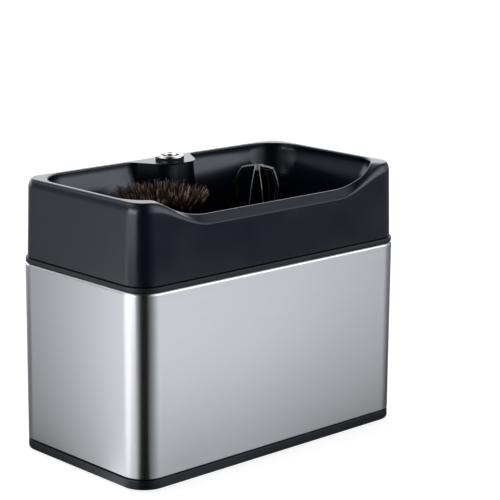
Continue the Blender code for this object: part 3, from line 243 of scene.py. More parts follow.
colours = {"data_type": "RGBA"}
low = add(tree, "ShaderNodeMix", colours, Factor=rise.outputs[0], A=foot, B=near)
both = add(tree, "ShaderNodeMix", colours, Factor=beyond.outputs[0], A=low.outputs[2], B=far)
edge = add(
    tree, "ShaderNodeMapRange", soft,
    Value=away.outputs[0], From_Min=CARD_TO_ROOM[0], From_Max=CARD_TO_ROOM[1],
)
whole = add(tree, "ShaderNodeMix", colours, Factor=edge.outputs[0], A=both.outputs[2], B=distant)
glow = add(tree, "ShaderNodeEmission", Color=whole.outputs[2], Strength=BRIGHTEST)
tree.links.new(glow.outputs[0], tree.nodes["Material Output"].inputs["Surface"])
card.data.materials.append(painted)
card.visible_camera = card.visible_diffuse = card.visible_transmission = False
card.visible_shadow = card.visible_volume_scatter = False

world = bpy.data.worlds.new("studio")
bpy.context.scene.world = world
world.use_nodes = True
air = world.node_tree
air.nodes.clear()
way = add(air, "ShaderNodeTexCoord")
parts = add(air, "ShaderNodeSeparateXYZ", Vector=way.outputs["Generated"])
walls = by_direction(air, parts.outputs["X"], parts.outputs["Y"], ROOM)
upper = by_direction(air, parts.outputs["X"], parts.outputs["Y"], HIGH_ROOM)
climb = add(
    air, "ShaderNodeMapRange",
    Value=parts.outputs["Z"], From_Min=LOW_TO_HIGH[0], From_Max=LOW_TO_HIGH[1],
)
both = add(air, "ShaderNodeMix", colours, Factor=climb.outputs[0], A=walls, B=upper)
fading = add(
    air, "ShaderNodeMapRange", Value=parts.outputs["Z"], From_Min=HIGH_TO_DARK[0], From_Max=HIGH_TO_DARK[1],
    To_Min=BRIGHTEST, To_Max=DARKEST * BRIGHTEST,
)
mirrored = add(air, "ShaderNodeBackground", Color=both.outputs[2], Strength=fading.outputs[0])
room = add(air, "ShaderNodeBackground", Color=(1, 1, 1, 1), Strength=MATT_ROOM)
white = add(air, "ShaderNodeBackground", Color=(1, 1, 1, 1), Strength=1.0)
seen = add(air, "ShaderNodeLightPath")
lit = add(
    air, "ShaderNodeMixShader",
    i0=seen.outputs["Is Glossy Ray"], i1=room.outputs[0], i2=mirrored.outputs[0],
)
mix = add(
    air, "ShaderNodeMixShader",
    i0=seen.outputs["Is Camera Ray"], i1=lit.outputs[0], i2=white.outputs[0],
)
add(air, "ShaderNodeOutputWorld", Surface=mix.outputs[0])


# %% Soft light
SKY_WIDE, SKY_POWER = math.radians(50), 3.1
SKY_TILT, SKY_ROLL = math.radians(-20), math.radians(-4)
LAMP_PLACE, LAMP_AIM = Vector((-1.30, 0.10, 0.16)), Vector((0, 0, 0.12))
LAMP_WIDE, LAMP_HIGH, LAMP_POWER = 1.0, 0.34, 8

sky = bpy.data.lights.new("overhead", "SUN")
sky.angle = SKY_WIDE
sky.energy = SKY_POWER
overhead = bpy.data.objects.new("overhead", sky)
bpy.context.scene.collection.objects.link(overhead)
overhead.matrix_world = Matrix.Rotation(SKY_TILT, 4, "X") @ Matrix.Rotation(SKY_ROLL, 4, "Y")
overhead.visible_glossy = False
lamp = bpy.data.lights.new("left_box", "AREA")
lamp.shape = "RECTANGLE"
lamp.size, lamp.size_y = LAMP_WIDE, LAMP_HIGH
lamp.energy = LAMP_POWER
left_box = bpy.data.objects.new("left_box", lamp)
bpy.context.scene.collection.objects.link(left_box)
facing = (LAMP_AIM - LAMP_PLACE).to_track_quat("-Z", "Y").to_matrix().to_4x4()
left_box.matrix_world = Matrix.Translation(LAMP_PLACE) @ facing
left_box.visible_camera = left_box.visible_diffuse = False
print("floor, card, room and lights are set")

# %% [markdown]
# ## Modelling by hand, in code
# The pieces are made as one makes them by hand: add a primitive, go into edit mode, select by
# place, and extrude, inset or bevel. A few small functions save repeating the steps around that.


# %% Start, pick and end a piece
def make_active(piece):
    """Closes edit mode and leaves only this piece selected and active."""
    if bpy.context.object and bpy.context.object.mode == "EDIT":
        bpy.ops.object.mode_set(mode="OBJECT")
    bpy.ops.object.select_all(action="DESELECT")
    piece.select_set(True)
    bpy.context.view_layer.objects.active = piece


def start(name):
    """Names the primitive just added, puts its place in its mesh and opens edit mode."""
    piece = bpy.context.object
    piece.name = piece.data.name = name
    bpy.ops.object.transform_apply(location=True, rotation=True, scale=True)
    bpy.ops.object.mode_set(mode="EDIT")
    return piece


def pick(kind, test):
    """Selects only the vertices, edges or faces of the open mesh that pass the test."""
    bpy.ops.mesh.select_mode(type=kind)
    bpy.ops.mesh.select_all(action="DESELECT")
    mesh = bmesh.from_edit_mesh(bpy.context.object.data)
    parts = {"VERT": mesh.verts, "EDGE": mesh.edges, "FACE": mesh.faces}[kind]
    count = 0
    for part in parts:
        if test(part):
            part.select_set(True)
            count += 1
    bmesh.update_edit_mesh(bpy.context.object.data)
    return count


def end(piece, material, sharp=40, even=True):
    """Closes edit mode, applies the modifiers, and smooths all but the sharp edges."""
    make_active(piece)
    for step in list(piece.modifiers):
        bpy.ops.object.modifier_apply(modifier=step.name)
    bpy.ops.object.shade_smooth_by_angle(angle=math.radians(sharp))
    if even:
        weighted = piece.modifiers.new("even", "WEIGHTED_NORMAL")
        weighted.keep_sharp = True
        bpy.ops.object.modifier_apply(modifier="even")
    piece.data.materials.clear()
    piece.data.materials.append(material)
    print(piece.name, len(piece.data.polygons), "faces")
    return piece


def at_height(z, slack=0.02 * MM):
    """A test for parts that lie at one height."""
    def test(part):
        corners = [part] if isinstance(part, bmesh.types.BMVert) else part.verts
        return all(abs(v.co.z - z) < slack for v in corners)
    return test


def upright(edge):
    a, b = (v.co for v in edge.verts)
    return abs(a.x - b.x) < MM and abs(a.y - b.y) < MM and abs(a.z - b.z) > MM


def add_block(name, low, high):
    middle = [(a + b) / 2 for a, b in zip(low, high)]
    bpy.ops.object.select_all(action="DESELECT")
    bpy.ops.mesh.primitive_cube_add(size=1, location=middle, scale=[b - a for a, b in zip(low, high)])
    return start(name)


def add_disc(name, radius, low, high, x=0.0, y=0.0, steps=64):
    bpy.ops.object.select_all(action="DESELECT")
    bpy.ops.mesh.primitive_cylinder_add(
        radius=radius, depth=high - low, location=(x, y, (low + high) / 2), vertices=steps
    )
    return start(name)


def combine(piece, tool, operation="DIFFERENCE"):
    """Cuts one piece with another by a Boolean, or joins the two, and deletes the tool."""
    make_active(piece)
    boolean = piece.modifiers.new("combine", "BOOLEAN")
    boolean.operation = operation
    boolean.solver = "EXACT"
    boolean.object = tool
    bpy.ops.object.modifier_apply(modifier="combine")
    bpy.data.objects.remove(tool, do_unlink=True)


# %% [markdown]
# ## Finishes of the outside
# **Brushed stainless steel** is drawn past an abrasive belt, so its fine lines run along the box.
# They smear a reflection up and down and leave it sharp from side to side, which is what
# anisotropy does. The lines themselves are 0.1 mm apart, too fine to show, so they are drawn as
# faint streaks about 0.5 mm high and 40 mm long.
# **ABS** for the top unit comes from a spark-eroded mould: a satin skin with a 0.3 mm grain. The
# other plastics differ from it in gloss: the nylon plates under the tools give back almost none.


# %% Brushed stainless steel
STREAK_LONG, STREAK_HIGH = 40 * MM, 0.5 * MM


def brushed_steel():
    material, tree, shader = finish("brushed_stainless_steel", "#C9CACC", 0.30, 1.0)
    shader.inputs["Anisotropic"].default_value = 0.75
    shader.inputs["Anisotropic Rotation"].default_value = 0.25
    along = add(tree, "ShaderNodeTangent", {"direction_type": "RADIAL", "axis": "Z"})
    tree.links.new(along.outputs[0], shader.inputs["Tangent"])
    place = add(tree, "ShaderNodeTexCoord")
    stretch = add(
        tree, "ShaderNodeMapping",
        Vector=place.outputs["Object"], Scale=(1 / STREAK_LONG, 1 / STREAK_LONG, 1 / STREAK_HIGH),
    )
    streaks = add(
        tree, "ShaderNodeTexNoise",
        Vector=stretch.outputs[0], Scale=1.0, Detail=3.0, Roughness=0.6,
    )
    rough = add(tree, "ShaderNodeMapRange", Value=streaks.outputs["Fac"], To_Min=0.27, To_Max=0.31)
    tree.links.new(rough.outputs[0], shader.inputs["Roughness"])
    tint = add(
        tree, "ShaderNodeMix", {"data_type": "RGBA"},
        Factor=streaks.outputs["Fac"], A=linear("#C1C2C5"), B=linear("#C9CACC"),
    )
    tree.links.new(tint.outputs[2], shader.inputs["Base Color"])
    ridges = add(tree, "ShaderNodeBump", Height=streaks.outputs["Fac"], Strength=0.025, Distance=0.02 * MM)
    tree.links.new(ridges.outputs[0], shader.inputs["Normal"])
    return material


STEEL = brushed_steel()
print("made", STEEL.name)


# %% Moulded plastics
CLOUD_WIDE = 25 * MM
GLOSS_DRIFT = 0.03


def moulded(name, colour, roughness, grain_mm=0.3, depth_mm=0.006, level=0.5):
    """Plastic from a spark-eroded mould: a fine grain in height and a little drift in gloss."""
    material, tree, shader = finish(name, colour, roughness)
    shader.inputs["IOR"].default_value = 1.54
    shader.inputs["Specular IOR Level"].default_value = level
    shader.inputs["Specular Tint"].default_value = (0.86, 0.93, 1.0, 1.0)
    place = add(tree, "ShaderNodeTexCoord")
    grain = add(
        tree, "ShaderNodeTexNoise",
        Vector=place.outputs["Object"], Scale=1 / (grain_mm * MM), Detail=2.0,
    )
    cloud = add(
        tree, "ShaderNodeTexNoise",
        Vector=place.outputs["Object"], Scale=1 / CLOUD_WIDE, Detail=3.0,
    )
    gloss = add(
        tree, "ShaderNodeMapRange", Value=cloud.outputs["Fac"], From_Min=0.3, From_Max=0.7,
        To_Min=roughness - GLOSS_DRIFT, To_Max=roughness + GLOSS_DRIFT,
    )
    tree.links.new(gloss.outputs[0], shader.inputs["Roughness"])
    skin = add(tree, "ShaderNodeBump", Height=grain.outputs["Fac"], Strength=0.25, Distance=depth_mm * MM)
    tree.links.new(skin.outputs[0], shader.inputs["Normal"])
    return material


ABS = moulded("black_abs_spark_eroded", "#080D18", 0.24, level=0.34)
TRAY = moulded("black_abs_tray", "#090D14", 0.34, level=0.45)
LINER = moulded("black_polypropylene_bin", "#0D0E11", 0.42, level=0.3)
NYLON = moulded("black_glass_filled_nylon", "#131315", 0.5, grain_mm=0.5, depth_mm=0.012)
DULL = moulded("black_glass_filled_nylon_dull", "#030304", 0.6, grain_mm=0.5, depth_mm=0.012, level=0.0)
GLOSS = moulded("black_acetal_polished", "#08080A", 0.16, grain_mm=0.8, depth_mm=0.002)
RUBBER = moulded("black_rubber_moulded", "#0C0C0D", 0.7, grain_mm=0.4, depth_mm=0.01, level=0.3)
print("made", [m.name for m in (ABS, TRAY, LINER, NYLON, DULL, GLOSS, RUBBER)])

# %% [markdown]
# ## Steel sleeve
# The sleeve is sheet steel, 1 mm thick, with rounded corners and a top edge rolled inwards.
# It starts as a block. Its four upright edges are bevelled into the corners, the lids become a lip
# and a flange by inset, the rim is bevelled into the roll, and Solidify gives the sheet its wall.

# %% Sleeve
SHEET = 1.0 * MM
CORNER = 16.4 * MM
ROLL = 2.1 * MM
LIP_REACH = 3.4 * MM
FLANGE_REACH = 13 * MM
sleeve_low, sleeve_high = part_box("steel_sleeve")
sleeve = add_block("sleeve_shell", sleeve_low, sleeve_high)
pick("EDGE", upright)
bpy.ops.mesh.bevel(offset=CORNER, segments=16, affect="EDGES")
pick("FACE", at_height(sleeve_high.z))
bpy.ops.mesh.inset(thickness=LIP_REACH)
bpy.ops.mesh.delete(type="FACE")
pick("FACE", at_height(sleeve_low.z))
bpy.ops.mesh.inset(thickness=FLANGE_REACH)
bpy.ops.mesh.delete(type="FACE")


def on_outline(edge, inset=0.05 * MM):
    """True for an edge on the outer plan outline of the sleeve."""
    def outside(v):
        x = abs(v.co.x) - (sleeve_high.x - CORNER)
        y = abs(v.co.y) - (sleeve_high.y - CORNER)
        return math.hypot(max(x, 0), max(y, 0)) + min(max(x, y), 0) > CORNER - inset
    return all(outside(v) for v in edge.verts)


rim = at_height(sleeve_high.z)
pick("EDGE", lambda edge: rim(edge) and on_outline(edge))
bpy.ops.mesh.bevel(offset=ROLL, segments=7, affect="EDGES")
bpy.ops.object.mode_set(mode="OBJECT")
wall = sleeve.modifiers.new("wall", "SOLIDIFY")
wall.thickness = SHEET
wall.offset = -1
wall.use_even_offset = True
end(sleeve, STEEL)

# %% Ride
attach(sleeve, "base")
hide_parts("steel_sleeve")

# %% [markdown]
# ## Top unit's skin
# The top unit is one moulding: an outer skirt, a rounded rim and a tub inside it. At the front the
# rim sinks in a smooth S to a low lip, and at the back a pillar stands into the tub. No operator
# makes a wall whose section changes along the way, so this piece is lofted instead: rays from
# inside the tub give the places round the plan, a list of insets and heights gives the section,
# and faces join one ring of points to the next. The tub's wall comes in quickly below the rim and
# then runs nearly straight down. The lip's top rises inwards and sinks a little at the ramps.

# %% Sizes of the top unit
housing_low, housing_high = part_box("top_housing")
RIM_Z = housing_high.z
COLLAR_Z = housing_low.z
SKIRT_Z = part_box("grounds_bin")[1].z + 0.3 * MM
HALF_X, HALF_Y = sleeve_high.x, sleeve_high.y
SKIRT_IN, SKIRT_WALL = 1.5 * MM, 2.2 * MM
DRAFT, LIP_DRAFT_SHARE = 1.2 * MM, 0.7
FOOT_EDGE = 0.35 * MM
TUB_IN = 8.3 * MM
TUB_CORNER = 25 * MM
TUB_DEPTH = (RIM_Z - COLLAR_Z) / MM
# how far the tub's wall has come in, and how far below the rim, both in mm
TUB_SLOPE = (
    (0.0, 3.0), (0.25, 5.0), (0.7, 7.0), (1.3, 9.0), (1.9, 11.0), (2.45, 13.0), (3.0, 15.5),
    (3.4, 18.0), (3.75, 21.0), (4.0, 25.0), (4.15, 32.0), (4.2, TUB_DEPTH),
)
TUB_WALL = 2.0 * MM
RIM_DEEP, RIM_WIDE = 7.0 * MM, 2.7 * MM
LIP_Z = RIM_Z - 18 * MM
LIP_SLOPE = 5.2 * MM
LIP_EDGE_WIDE, LIP_EDGE_DEEP = 0.7 * MM, 0.8 * MM
LIP_ROUND = 1.3 * MM
RIM_ROUND = 1.0  # in mm, as the tub's slope is
LIP_HALF, RAMP_END = 56 * MM, 106 * MM
CEILING = 4 * MM
PILLAR_DEEP = 22.7 * MM
PILLAR_NOSE = HALF_Y - TUB_IN - PILLAR_DEEP
PILLAR_FILLET, PILLAR_CORNER, PILLAR_FLAT = 10 * MM, 14 * MM, 4 * MM
PILLAR_BEND = math.radians(60)
PILLAR_DRAFT = 2.0 * MM
print("rim", RIM_Z, "lip", LIP_Z, "skirt bottom", SKIRT_Z)


# %% Places round the plan
def reach(base, way, inset, radius):
    """Distance from base, along way, to the rounded rectangle at this inset."""
    core_x, core_y = HALF_X - inset - radius, HALF_Y - inset - radius
    near, far = 0.0, HALF_X
    for _ in range(42):
        middle = (near + far) / 2
        x = abs(base[0] + way[0] * middle) - core_x
        y = abs(base[1] + way[1] * middle) - core_y
        beyond = math.hypot(max(x, 0), max(y, 0)) + min(max(x, y), 0) > radius
        near, far = (near, middle) if beyond else (middle, far)
    return near


def pillar_line(back, nose):
    """Plan points of the pillar from +X to -X, between the tub's back wall and its nose."""
    grown = nose - PILLAR_NOSE
    fillet, corner = PILLAR_FILLET + grown, PILLAR_CORNER - grown
    flat, bend = PILLAR_FLAT, PILLAR_BEND
    flank = (back - nose - (fillet + corner) * (1 - math.cos(bend))) / math.sin(bend)
    half = flat + (fillet + corner) * math.sin(bend) + flank * math.cos(bend)
    right = []
    for i in range(9):
        angle = math.pi / 2 + bend * i / 8
        right.append((half + fillet * math.cos(angle), back - fillet + fillet * math.sin(angle)))
    for i in range(13):
        angle = bend * (1 - i / 12) - math.pi / 2
        right.append((flat + corner * math.cos(angle), nose + corner + corner * math.sin(angle)))
    return right + [(-x, y) for x, y in reversed(right)]


def plan_rays():
    """Rays (base, direction, number in the pillar's line or None), once round the plan."""
    core_x, core_y = HALF_X - TUB_IN - TUB_CORNER, HALF_Y - TUB_IN - TUB_CORNER
    first = math.atan2(HALF_Y - CORNER - core_y, HALF_X - core_x)
    last = math.atan2(HALF_Y - core_y, HALF_X - CORNER - core_x)
    fan = [first * i / 5 for i in range(5)]
    fan += [first + (last - first) * i / 16 for i in range(17)]
    fan += [last + (math.pi / 2 - last) * i / 5 for i in range(1, 6)]
    line = pillar_line(HALF_Y - TUB_IN, PILLAR_NOSE)
    ramp = [core_x - (core_x - LIP_HALF) * i / 16 for i in range(1, 17)]
    lip = [LIP_HALF * (1 - i / 6) for i in range(1, 12)]

    def corner(side_x, side_y, quarter):
        middle = (side_x * core_x, side_y * core_y)
        return [(middle, (math.cos(quarter + a), math.sin(quarter + a)), None) for a in fan]

    between = [core_x + (line[0][0] - core_x) * i / 5 for i in range(1, 5)]
    rays = corner(1, 1, 0)
    rays += [((x, core_y), (0, 1), None) for x in between]
    rays += [((x, core_y), (0, 1), i) for i, (x, _) in enumerate(line)]
    rays += [((-x, core_y), (0, 1), None) for x in reversed(between)]
    rays += corner(-1, 1, math.pi / 2)
    rays += corner(-1, -1, math.pi)
    rays += [((-x, -core_y), (0, -1), None) for x in ramp]
    rays += [((-x, -core_y), (0, -1), None) for x in lip]
    rays += [((x, -core_y), (0, -1), None) for x in reversed(ramp)]
    rays += corner(1, -1, 3 * math.pi / 2)
    return rays


def lip_part(ray):
    """0 at the high rim, 1 at the low front lip, smooth over the ramps between."""
    base, way, _ = ray
    if way[1] >= 0:
        return 0.0
    across = abs(base[0] + way[0] * reach(base, way, 0, CORNER))
    share = min(max((RAMP_END - across) / (RAMP_END - LIP_HALF), 0.0), 1.0)
    return share * share * (3 - 2 * share)


RAYS = plan_rays()
print(len(RAYS), "places round the plan")


# %% Section, as rows of (inset, height) at the rim and at the lip
def section_rows():
    """Each row: inset and height at the rim, the same at the lip, plan radius, pillar growth."""
    skirt_top, lip_wall = SKIRT_IN + DRAFT, SKIRT_IN + DRAFT * LIP_DRAFT_SHARE
    rim_start = RIM_Z - RIM_DEEP
    edge = FOOT_EDGE
    rows = []
    for i in range(4):
        a = math.pi / 2 * i / 3
        inset, z = SKIRT_IN + edge * (1 - math.sin(a)), SKIRT_Z + edge * (1 - math.cos(a))
        rows.append((inset, z, inset, z, None, None))
    for i in range(1, 7):
        share = i / 6
        rim_at = (SKIRT_IN + DRAFT * share, SKIRT_Z + edge + (rim_start - SKIRT_Z - edge) * share)
        lip_top = LIP_Z - LIP_EDGE_DEEP
        lip_at = (
            SKIRT_IN + (lip_wall - SKIRT_IN) * share,
            SKIRT_Z + edge + (lip_top - SKIRT_Z - edge) * share,
        )
        rows.append((*rim_at, *lip_at, None, None))
    for i in range(1, 11):
        a = math.pi / 2 * i / 10
        rim_at = (skirt_top + RIM_WIDE * (1 - math.cos(a)), rim_start + RIM_DEEP * math.sin(a))
        lip_at = (lip_wall + LIP_EDGE_WIDE * (1 - math.cos(a)), LIP_Z - LIP_EDGE_DEEP * (1 - math.sin(a)))
        rows.append((*rim_at, *lip_at, None, None))
    lip_inner = LIP_Z + LIP_SLOPE
    round_in, lip_round = RIM_ROUND * MM, LIP_ROUND
    run, rise = TUB_IN - lip_round - lip_wall - LIP_EDGE_WIDE, LIP_SLOPE - lip_round
    # the slope of the line that leaves the lip's outer edge and just touches its inner round
    tilt = math.atan2(rise, run) + math.asin(lip_round / math.hypot(run, rise))
    for i in range(9):
        a = math.pi / 2 * i / 8
        b = (math.pi / 2 + tilt) * i / 8 - tilt
        inward, down = 1 - math.sin(a), 1 - math.cos(a)
        rim_at = (TUB_IN - round_in * inward, RIM_Z - round_in * down)
        lip_at = (TUB_IN - lip_round * (1 - math.sin(b)), lip_inner - lip_round * (1 - math.cos(b)))
        rows.append((*rim_at, *lip_at, TUB_CORNER, -round_in * inward))
    for inward, down in TUB_SLOPE:
        share = (down - RIM_ROUND) / (TUB_DEPTH - RIM_ROUND)
        rim_z = RIM_Z - down * MM
        lip_z = lip_inner - lip_round + (COLLAR_Z - lip_inner + lip_round) * share
        inset = TUB_IN + inward * MM
        rows.append((inset, rim_z, inset, lip_z, TUB_CORNER, -PILLAR_DRAFT * share))
    hidden = inset - TUB_WALL
    behind = TUB_CORNER + TUB_WALL
    rows.append((hidden, COLLAR_Z, hidden, COLLAR_Z, behind, TUB_WALL - PILLAR_DRAFT))
    ceiling, lip_ceiling = RIM_Z - CEILING, LIP_Z - CEILING
    rows.append((TUB_IN - TUB_WALL, ceiling, TUB_IN - TUB_WALL, lip_ceiling, behind, TUB_WALL))
    wall = SKIRT_WALL
    rows.append((skirt_top + wall, ceiling, lip_wall + wall, lip_ceiling, None, None))
    rows.append((SKIRT_IN + wall, SKIRT_Z, SKIRT_IN + wall, SKIRT_Z, None, None))
    return rows


# the pillar stands in the gear case's cover, so its lower end is held up there
PILLAR_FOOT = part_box("gear_case_cover")[1].z - 3.7 * MM


def loft_ring(row):
    """The points of one row of the section, at every place round the plan."""
    rim_in, rim_z, lip_in, lip_z, radius, pillar = row
    ring = []
    for ray in RAYS:
        base, way, number = ray
        share = lip_part(ray)
        inset = rim_in + (lip_in - rim_in) * share
        z = rim_z + (lip_z - rim_z) * share
        if radius == TUB_CORNER:
            z -= LIP_SLOPE * share * (1 - share) * (lip_z - COLLAR_Z) / (LIP_Z + LIP_SLOPE - COLLAR_Z)
        if number is not None and pillar is not None:
            x, y = pillar_line(HALF_Y - inset, PILLAR_NOSE + pillar)[number]
            z = max(z, PILLAR_FOOT)
        else:
            corner = CORNER - inset if radius is None else radius
            far = reach(base, way, inset, corner)
            x, y = base[0] + way[0] * far, base[1] + way[1] * far
        ring.append((x, y, z))
    return ring


ROWS = section_rows()
print(len(ROWS), "rows in the section")

# %% Loft the skin
rings = [loft_ring(row) for row in ROWS]
count = len(RAYS)
points = [point for ring in rings for point in ring]
faces = []
for i in range(len(rings)):
    low, high = i * count, (i + 1) % len(rings) * count
    for j in range(count):
        k = (j + 1) % count
        faces.append((low + j, low + k, high + k, high + j))
mesh = bpy.data.meshes.new("housing_shell")
mesh.from_pydata(points, [], faces)
mesh.update()
housing = bpy.data.objects.new("housing_shell", mesh)
bpy.context.scene.collection.objects.link(housing)
make_active(housing)
bpy.ops.object.mode_set(mode="EDIT")
bpy.ops.mesh.select_all(action="SELECT")
bpy.ops.mesh.normals_make_consistent(inside=False)
bpy.ops.object.mode_set(mode="OBJECT")

# %% Bores for the button and the inlet
BUTTON_BORE_R, INLET_BORE_R = 8.3 * MM, 4.3 * MM
button_low, button_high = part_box("button_bezel")
BUTTON_Y = (button_low.y + button_high.y) / 2
bore = add_disc("button_bore", BUTTON_BORE_R, RIM_Z - 12 * MM, RIM_Z + 4 * MM, 0, BUTTON_Y)
combine(housing, bore)
inlet_low, inlet_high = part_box("dc_inlet")
bpy.ops.object.select_all(action="DESELECT")
bpy.ops.mesh.primitive_cylinder_add(
    radius=INLET_BORE_R, depth=12 * MM, vertices=48, rotation=(math.pi / 2, 0, 0),
    location=((inlet_low.x + inlet_high.x) / 2, HALF_Y - 2 * MM, (inlet_low.z + inlet_high.z) / 2),
)
bore = start("inlet_bore")
combine(housing, bore)
end(housing, ABS)
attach(housing, "top_unit")
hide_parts("top_housing")

# %% [markdown]
# ## Base tray and feet
# The tray is a plain moulding that closes the sleeve from below: a block with the sleeve's
# rounded plan, a small round on its edges, and round pockets from which the rubber feet stand
# out by a millimetre. Its outer edge lies a millimetre lower than its middle, and that gap shows as
# a thin dark line under the steel. The foot is modelled once and copied to the four corners.

# %% Base tray
SHADOW_GAP, LEDGE = 1.0 * MM, 2.4 * MM
POCKET_ROOM = 0.3 * MM
tray_low, tray_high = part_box("base_tray")
tray = add_block("base_tray_shell", tray_low, tray_high)
pick("EDGE", upright)
bpy.ops.mesh.bevel(offset=CORNER, segments=16, affect="EDGES")
pick("EDGE", at_height(tray_low.z))
bpy.ops.mesh.bevel(offset=1.0 * MM, segments=4, affect="EDGES")
pick("FACE", at_height(tray_high.z))
bpy.ops.transform.translate(value=(0, 0, -SHADOW_GAP))
bpy.ops.mesh.inset(thickness=LEDGE)
bpy.ops.mesh.extrude_region_move(TRANSFORM_OT_translate={"value": (0, 0, SHADOW_GAP)})
pick("EDGE", lambda edge: at_height(tray_high.z - SHADOW_GAP)(edge) and on_outline(edge, MM))
bpy.ops.mesh.bevel(offset=0.3 * MM, segments=2, affect="EDGES")
bpy.ops.object.mode_set(mode="OBJECT")
foot_low, foot_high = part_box("rubber_foot_1")
FOOT_R = (foot_high.x - foot_low.x) / 2
for number in (1, 2, 3, 4):
    low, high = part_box(f"rubber_foot_{number}")
    middle = (low + high) / 2
    pocket = add_disc("pocket", FOOT_R + POCKET_ROOM, -MM, high.z + POCKET_ROOM, middle.x, middle.y, 40)
    combine(tray, pocket)
end(tray, TRAY)
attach(tray, "base")
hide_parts("base_tray")

# %% Feet
foot = add_disc("rubber_foot_shell_1", FOOT_R, foot_low.z, foot_high.z, steps=48)
pick("EDGE", at_height(foot_low.z))
bpy.ops.mesh.bevel(offset=0.8 * MM, segments=3, affect="EDGES")
pick("FACE", at_height(foot_low.z))
bpy.ops.mesh.inset(thickness=2.2 * MM)
bpy.ops.mesh.extrude_region_move(TRANSFORM_OT_translate={"value": (0, 0, 0.5 * MM)})
end(foot, RUBBER)
foot_mesh = foot.data.copy()
for number in (1, 2, 3, 4):
    low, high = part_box(f"rubber_foot_{number}")
    middle = (low + high) / 2
    piece = foot
    if number > 1:
        piece = bpy.data.objects.new(f"rubber_foot_shell_{number}", foot_mesh.copy())
        bpy.context.scene.collection.objects.link(piece)
    piece.data.transform(Matrix.Translation((middle.x, middle.y, 0)))
    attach(piece, "base")
    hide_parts(f"rubber_foot_{number}")
print("four feet stand in the tray's pockets")

# %% [markdown]
# ## Grounds bin
# The bin is one thin-walled moulding that hangs in the sleeve by its flange. The flange shows as
# a thin band between the steel and the top unit. A block the size of the flange gets the rounded
# plan; its underside is inset and pulled down into the outer wall, and its top is inset and
# pushed down into the hollow. Resizing the moved face gives both walls their draft.

# %% Bin
BIN_WALL_IN, BIN_FLOOR = 4.0 * MM, 2 * MM
BIN_TAPER, BIN_ROUND = 3.0 * MM, 3 * MM
BIN_FLANGE, FLANGE_EDGE_IN = 2.7 * MM, 0.2 * MM
bin_low, bin_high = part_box("grounds_bin")
FLANGE_Z = bin_high.z - BIN_FLANGE
tub_bin = add_block("bin_shell", (bin_low.x, bin_low.y, FLANGE_Z), bin_high)
pick("EDGE", upright)
bpy.ops.mesh.bevel(offset=CORNER - FLANGE_EDGE_IN, segments=14, affect="EDGES")


def pull(height, low_z, inset, taper):
    """Insets the lid at a height, moves the inner face to low_z and draws it in by the taper."""
    pick("FACE", at_height(height))
    bpy.ops.mesh.inset(thickness=inset)
    bpy.ops.mesh.extrude_region_move(TRANSFORM_OT_translate={"value": (0, 0, low_z - height)})
    half_x, half_y = bin_high.x - inset, bin_high.y - inset
    size = (1 - taper / half_x, 1 - taper / half_y, 1)
    bpy.ops.transform.resize(value=size, center_override=(0, 0, low_z))


pull(FLANGE_Z, bin_low.z, BIN_WALL_IN - FLANGE_EDGE_IN, BIN_TAPER)
pick("EDGE", at_height(bin_low.z))
bpy.ops.mesh.bevel(offset=BIN_ROUND, segments=4, affect="EDGES")
pull(bin_high.z, bin_low.z + BIN_FLOOR, BIN_WALL_IN + 1.8 * MM, BIN_TAPER)
pick("EDGE", at_height(bin_low.z + BIN_FLOOR))
bpy.ops.mesh.bevel(offset=BIN_ROUND, segments=4, affect="EDGES")
pick("EDGE", at_height(bin_high.z))
bpy.ops.mesh.bevel(offset=0.4 * MM, segments=2, affect="EDGES")
end(tub_bin, LINER)
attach(tub_bin, "bin")
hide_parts("grounds_bin")

# %% [markdown]
# ## Tool plates
# Brush and claw each stand on a nylon plate with a hub below it. A disc gives the plate, the hub
# is an inset face pulled down, and small bevels round every edge as a mould would.

# %% Tool plates
PLATE_R, HUB_R, HUB_DEEP = 22 * MM, 9 * MM, 4 * MM
GROOVE_IN, GROOVE_DEEP = 2.4 * MM, 0.8 * MM
MIDDLE_IN, MIDDLE_UP = 11 * MM, 0.7 * MM
AXIS_X = {}
for kind in ("brush", "scraper"):
    plate_low, plate_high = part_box(f"{kind}_plate")
    x = AXIS_X[kind] = (plate_low.x + plate_high.x) / 2
    underside = plate_low.z + HUB_DEEP
    plate = add_disc(f"{kind}_plate_shell", PLATE_R, underside, plate_high.z, x, 0, 96)
    pick("FACE", at_height(underside))
    bpy.ops.mesh.inset(thickness=PLATE_R - HUB_R)
    bpy.ops.mesh.extrude_region_move(TRANSFORM_OT_translate={"value": (0, 0, plate_low.z - underside)})
    pick("FACE", at_height(plate_high.z))
    bpy.ops.mesh.inset(thickness=GROOVE_IN)
    bpy.ops.mesh.extrude_region_move(TRANSFORM_OT_translate={"value": (0, 0, -GROOVE_DEEP)})
    bpy.ops.mesh.inset(thickness=MIDDLE_IN)
    bpy.ops.mesh.extrude_region_move(TRANSFORM_OT_translate={"value": (0, 0, MIDDLE_UP)})
    for z, width in ((plate_high.z, 0.5), (underside, 0.5), (plate_low.z, 0.4)):
        pick("EDGE", at_height(z))
        bpy.ops.mesh.bevel(offset=width * MM, segments=3, affect="EDGES")
    end(plate, DULL)
    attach(plate, f"{kind}_head")
    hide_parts(f"{kind}_plate")
